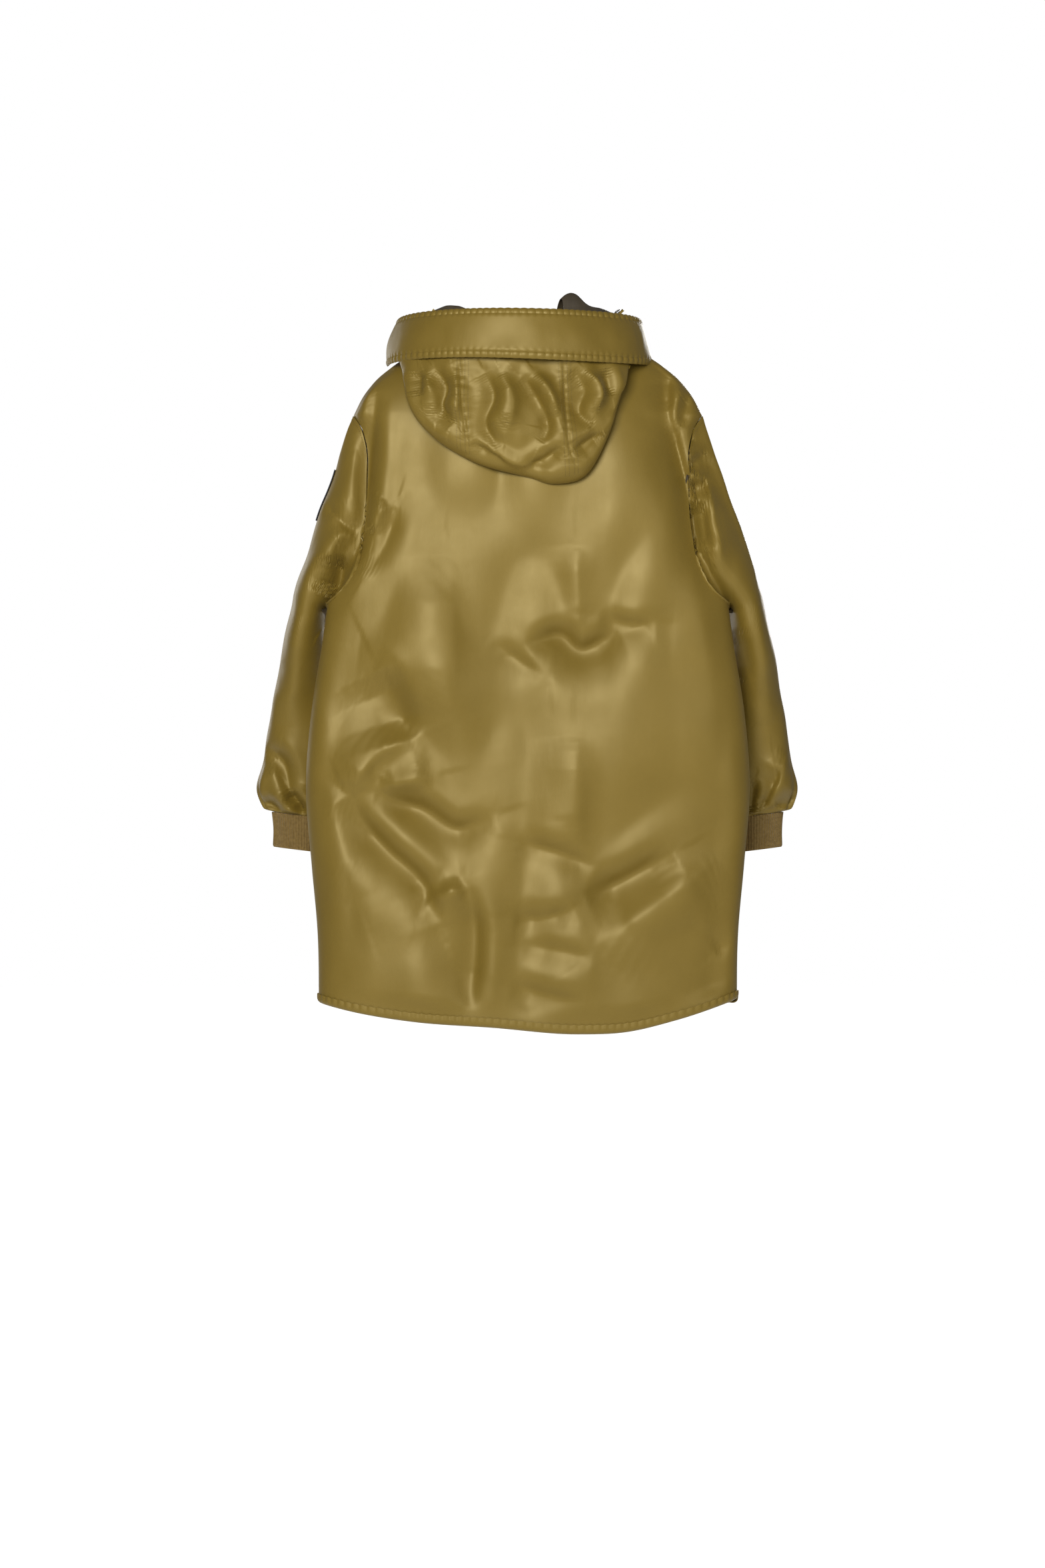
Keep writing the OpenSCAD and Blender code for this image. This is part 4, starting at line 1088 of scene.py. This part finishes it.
def storm_flap():
    """A long padded flap over the zip, topstitched along its edges, with a little wave between its snaps."""
    low, high = (np.array(corner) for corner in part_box("storm_flap"))
    u, v = np.linspace(0, 1, 41), np.linspace(0, 1, 401)
    v, u = np.meshgrid(v, u, indexing="ij")
    length = high[2] - low[2]
    x = low[0] + (FLAP_ROOT_X - low[0] + 0.0015) * u
    z = high[2] - length * v
    edge = (np.clip(1 - np.abs(2 * u - 1) ** 12, 0, 1) ** 0.5
            * np.clip(1 - np.abs(2 * v - 1) ** 200, 0, 1) ** 0.5)
    wave = 0.0016 * np.sin(z * 2 * math.pi / 0.075) * np.exp(-u / 0.25)
    grid = np.stack([x, np.full_like(x, FLAP_FACE_Y), z], 2)
    ripple = 0.0006 * np.sin(z * 2 * math.pi / 0.0095 + 2 * np.sin(40 * z))
    seam = np.exp(-((u - 0.12) / 0.03) ** 2) + np.exp(-((u - 0.22) / 0.03) ** 2)
    grid[..., 1] += -0.0012 * edge - wave * 0.5 + 0.0011 * seam + ripple * np.exp(-((u - 0.17) / 0.12) ** 2)
    grid[..., 1] += -0.0012 * crumple(grid, 0.04, (1, 1, 2), 61.0) * edge
    # its root turns back to the front panel
    grid[..., 1] += 0.0095 * step(0.86, 1.0, u)**1.5
    parts = [cloth(grid, 0.0034, SATIN, flip=True)]
    for column in (5, 9):
        parts.append(stitches(grid[3:-3, column] - [0, 0.0005, 0]))
    piece = make_piece("storm_flap_panel", parts)
    place(piece, "storm_flap", "satin_shell", "storm_flap")


POCKET_MID = np.array([0.145, -0.071])
POCKET_TURN = math.radians(12)
POCKET_TOP = -0.552
POCKET_W, POCKET_H, POCKET_T = 0.136, 0.190, 0.020
POCKET_FLAP_H, POCKET_FLAP_W = 0.062, POCKET_W + 0.006
FLAP_CORNER = 0.012         # rounding of the flap's lower corners
FLAP_REACH = 0.028          # how far the flap's face stands off the front


def at_pocket(grid, side):
    """From the pocket's own frame to the coat's."""
    c, s = math.cos(POCKET_TURN), math.sin(POCKET_TURN)
    x = POCKET_MID[0] + c * grid[..., 0] - s * grid[..., 1]
    y = POCKET_MID[1] + s * grid[..., 0] + c * grid[..., 1]
    return np.stack([side * x, y, grid[..., 2]], -1)


def pocket(side, word):
    """A bellows pocket: side walls, a full front and an open mouth under the flap."""
    around = np.linspace(-1, 1, 121)
    v = np.linspace(0, 1, 111)
    vv, a = np.meshgrid(v, around, indexing="ij")
    half, wall = POCKET_W / 2, 0.16
    across = np.clip(np.abs(a) / (1 - wall), 0, 1)
    out = np.where(np.abs(a) > 1 - wall, (1 - np.abs(a)) / wall, 1.0)
    corner = np.clip(1 - (1 - np.clip(out, 0, 1)) ** 1.6, 0, 1)
    x = np.sign(a) * half * (across - 0.020 * np.sin(math.pi * out) * (np.abs(a) > 1 - wall))
    foot = np.clip(vv / 0.10, 0, 1)
    bottom = np.sqrt(np.clip(1 - (1 - foot) ** 2.4, 0, 1))
    depth = POCKET_T * corner * bottom * (1 - 0.10 * (1 - across**2) * vv)
    z = POCKET_TOP - POCKET_H * (1 - vv) + 0.012 * np.clip((across - 0.82) / 0.18, 0, 1) ** 2 * (1 - foot)
    grid = np.stack([x, -depth, z], 2)
    grid[..., 1] -= 0.0022 * crumple(grid, 0.045, seed=71.0 + side) * corner * bottom
    grid[..., 1] += 0.0012 * np.exp(-((vv - 0.93) / 0.012) ** 2) * corner
    grid = at_pocket(grid, side)
    face = at_pocket(np.stack([x, -depth - 0.0012, z], 2), side)
    parts = [cloth(grid, 0.0018, SATIN, flip=side < 0), stitches(face[103, 12:-12])]
    for column in (14, -15):
        parts.append(stitches(face[8:, column]))
    piece = make_piece(f"bellows_pocket_{word}", parts)
    place(piece, "coat_body", "satin_shell", f"pocket_{word}")


def pocket_flap(side, word):
    """A padded flap over the pocket's mouth, with rounded lower corners and a topstitched edge."""
    v, u = np.meshgrid(np.linspace(0, 1, 61), np.linspace(-1, 1, 91), indexing="ij")
    edge = np.clip(1 - np.abs(u) ** 16, 0, 1) ** 0.5 * np.clip(1 - np.abs(2 * v - 1) ** 16, 0, 1) ** 0.5
    half = POCKET_FLAP_W / 2
    corner = np.clip((np.abs(u) * POCKET_FLAP_W / 2 - (half - FLAP_CORNER)) / FLAP_CORNER, 0, 1)
    round_off = FLAP_CORNER * corner ** 2
    z = -POCKET_FLAP_H * v + round_off * v**3 * 0.8
    x = u * POCKET_FLAP_W / 2
    v = -z / POCKET_FLAP_H
    root = step(0.10, 0.0, v)
    grid = np.stack([x, -FLAP_REACH + 0.0012 - 0.0016 * edge + (FLAP_REACH - 0.006) * root**1.3,
                     POCKET_TOP + 0.009 + z], 2)
    seam = np.exp(-((np.abs(x) - (POCKET_W / 2 - 0.004)) / 0.0012) ** 2) + np.exp(-((v - 0.90) / 0.018) ** 2)
    grid[..., 1] += 0.0010 * seam - 0.0010 * crumple(grid, 0.03, seed=81.0 + side) * edge
    local = grid.copy()
    local[..., 1] -= 0.0008
    grid, face = at_pocket(grid, side), at_pocket(local, side)
    parts = [cloth(grid, 0.0036, SATIN, flip=side > 0), stitches(face[55, 5:-5])]
    for column in (5, -6):
        parts.append(stitches(face[8:55, column]))
    piece = make_piece(f"pocket_flap_panel_{word}", parts)
    place(piece, f"pocket_flap_{word}", "satin_shell", f"pocket_flap_{word}")


def finish_kept_nodes():
    """Zip and snaps keep their CAD shapes and get their metal and woven finishes."""
    for name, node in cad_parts.items():
        if name.startswith("zip_tape"):
            material = TAPE
        elif name.startswith("zip_") or "snap" in name:
            material = METAL
        else:
            continue
        node.data.materials.clear()
        node.data.materials.append(material)


sleeve_faces = {}
for SIDE, WORD in ((1, "left"), (-1, "right")):
    front_panel(SIDE, WORD)
    sleeve_faces[WORD] = sleeve(SIDE, WORD)
    sleeve_lining(SIDE, WORD)
    rib_cuff(SIDE, WORD)
    collar(SIDE, WORD)
    pocket(SIDE, WORD)
    pocket_flap(SIDE, WORD)
    hem_band(f"hem_roll_{WORD}", False, SIDE, f"hem_band_{WORD}")
back_panel()
lining_panels()
hem_band("hem_roll_back", True, 1, "hem_band_back")
sleeve_label(sleeve_faces["left"])
hood()
hood_lining()
hood_neck_panel()
lining_roll(1, "left", 0.100, 0.018)
lining_roll(-1, "right", 0.082, 0.034)
hood_brim()
neck_tape_and_loop()
storm_flap()
finish_kept_nodes()

# ---------- camera, light and stage ----------

CAMERA_X, CAMERA_FAR, CAMERA_Z = 0.0074, 5.0, -0.618
VIEW_HEIGHT = 2.165         # height of the view at the coat
FLOOR_Z = -1.75


def white_stage():
    """A plain pale floor that the camera sees as white."""
    material, nodes, links, shader = new_material("pale_floor")
    varied_colour(nodes, links, shader, (0.86, 0.86, 0.86), (0.9, 0.9, 0.9), 0.5)
    shader.inputs["Roughness"].default_value = 0.8
    shader.inputs["Emission Color"].default_value = (1, 1, 1, 1)
    ray = add_node(nodes, "ShaderNodeLightPath")
    links.new(ray.outputs["Is Camera Ray"], shader.inputs["Emission Strength"])
    bpy.ops.mesh.primitive_plane_add(size=30, location=(0, 0, FLOOR_Z))
    floor = bpy.context.object
    floor.name = "floor"
    floor.data.materials.append(material)


def soft_light(name, place_at, size, power):
    light = bpy.data.lights.new(name, "AREA")
    light.shape = "RECTANGLE"
    light.size, light.size_y = size
    light.energy = power
    lamp = bpy.data.objects.new(name, light)
    bpy.context.scene.collection.objects.link(lamp)
    lamp.location = place_at
    lamp.rotation_euler = (Vector((0, 0, -0.5)) - Vector(place_at)).to_track_quat("-Z", "Y").to_euler()


def studio():
    scene = bpy.context.scene
    scene.view_settings.view_transform = "Standard"
    world = bpy.data.worlds.new("studio")
    scene.world = world
    world.use_nodes = True
    nodes, links = world.node_tree.nodes, world.node_tree.links
    sky = nodes["Background"]
    sky.inputs["Color"].default_value = (1, 1, 1, 1)
    ray = add_node(nodes, "ShaderNodeLightPath")
    level = add_node(nodes, "ShaderNodeMapRange")
    level.inputs["To Min"].default_value = 0.16
    level.inputs["To Max"].default_value = 1.0
    links.new(ray.outputs["Is Camera Ray"], level.inputs["Value"])
    links.new(level.outputs["Result"], sky.inputs["Strength"])
    for word, way in (("", 1), ("front_", -1)):
        soft_light(f"{word}key", (0.7 * way, 3.3 * way, 0.45), (1.5, 1.2), 115)
        soft_light(f"{word}fill", (-2.2 * way, 2.9 * way, 0.2), (1.2, 1.6), 20)
    camera = bpy.data.objects.new("camera", bpy.data.cameras.new("camera"))
    scene.collection.objects.link(camera)
    scene.camera = camera
    camera.location = (CAMERA_X, CAMERA_FAR, CAMERA_Z)
    camera.rotation_euler = (math.pi / 2, 0, math.pi)
    camera.data.lens = camera.data.sensor_width * (CAMERA_FAR - 0.04) / VIEW_HEIGHT


white_stage()
studio()
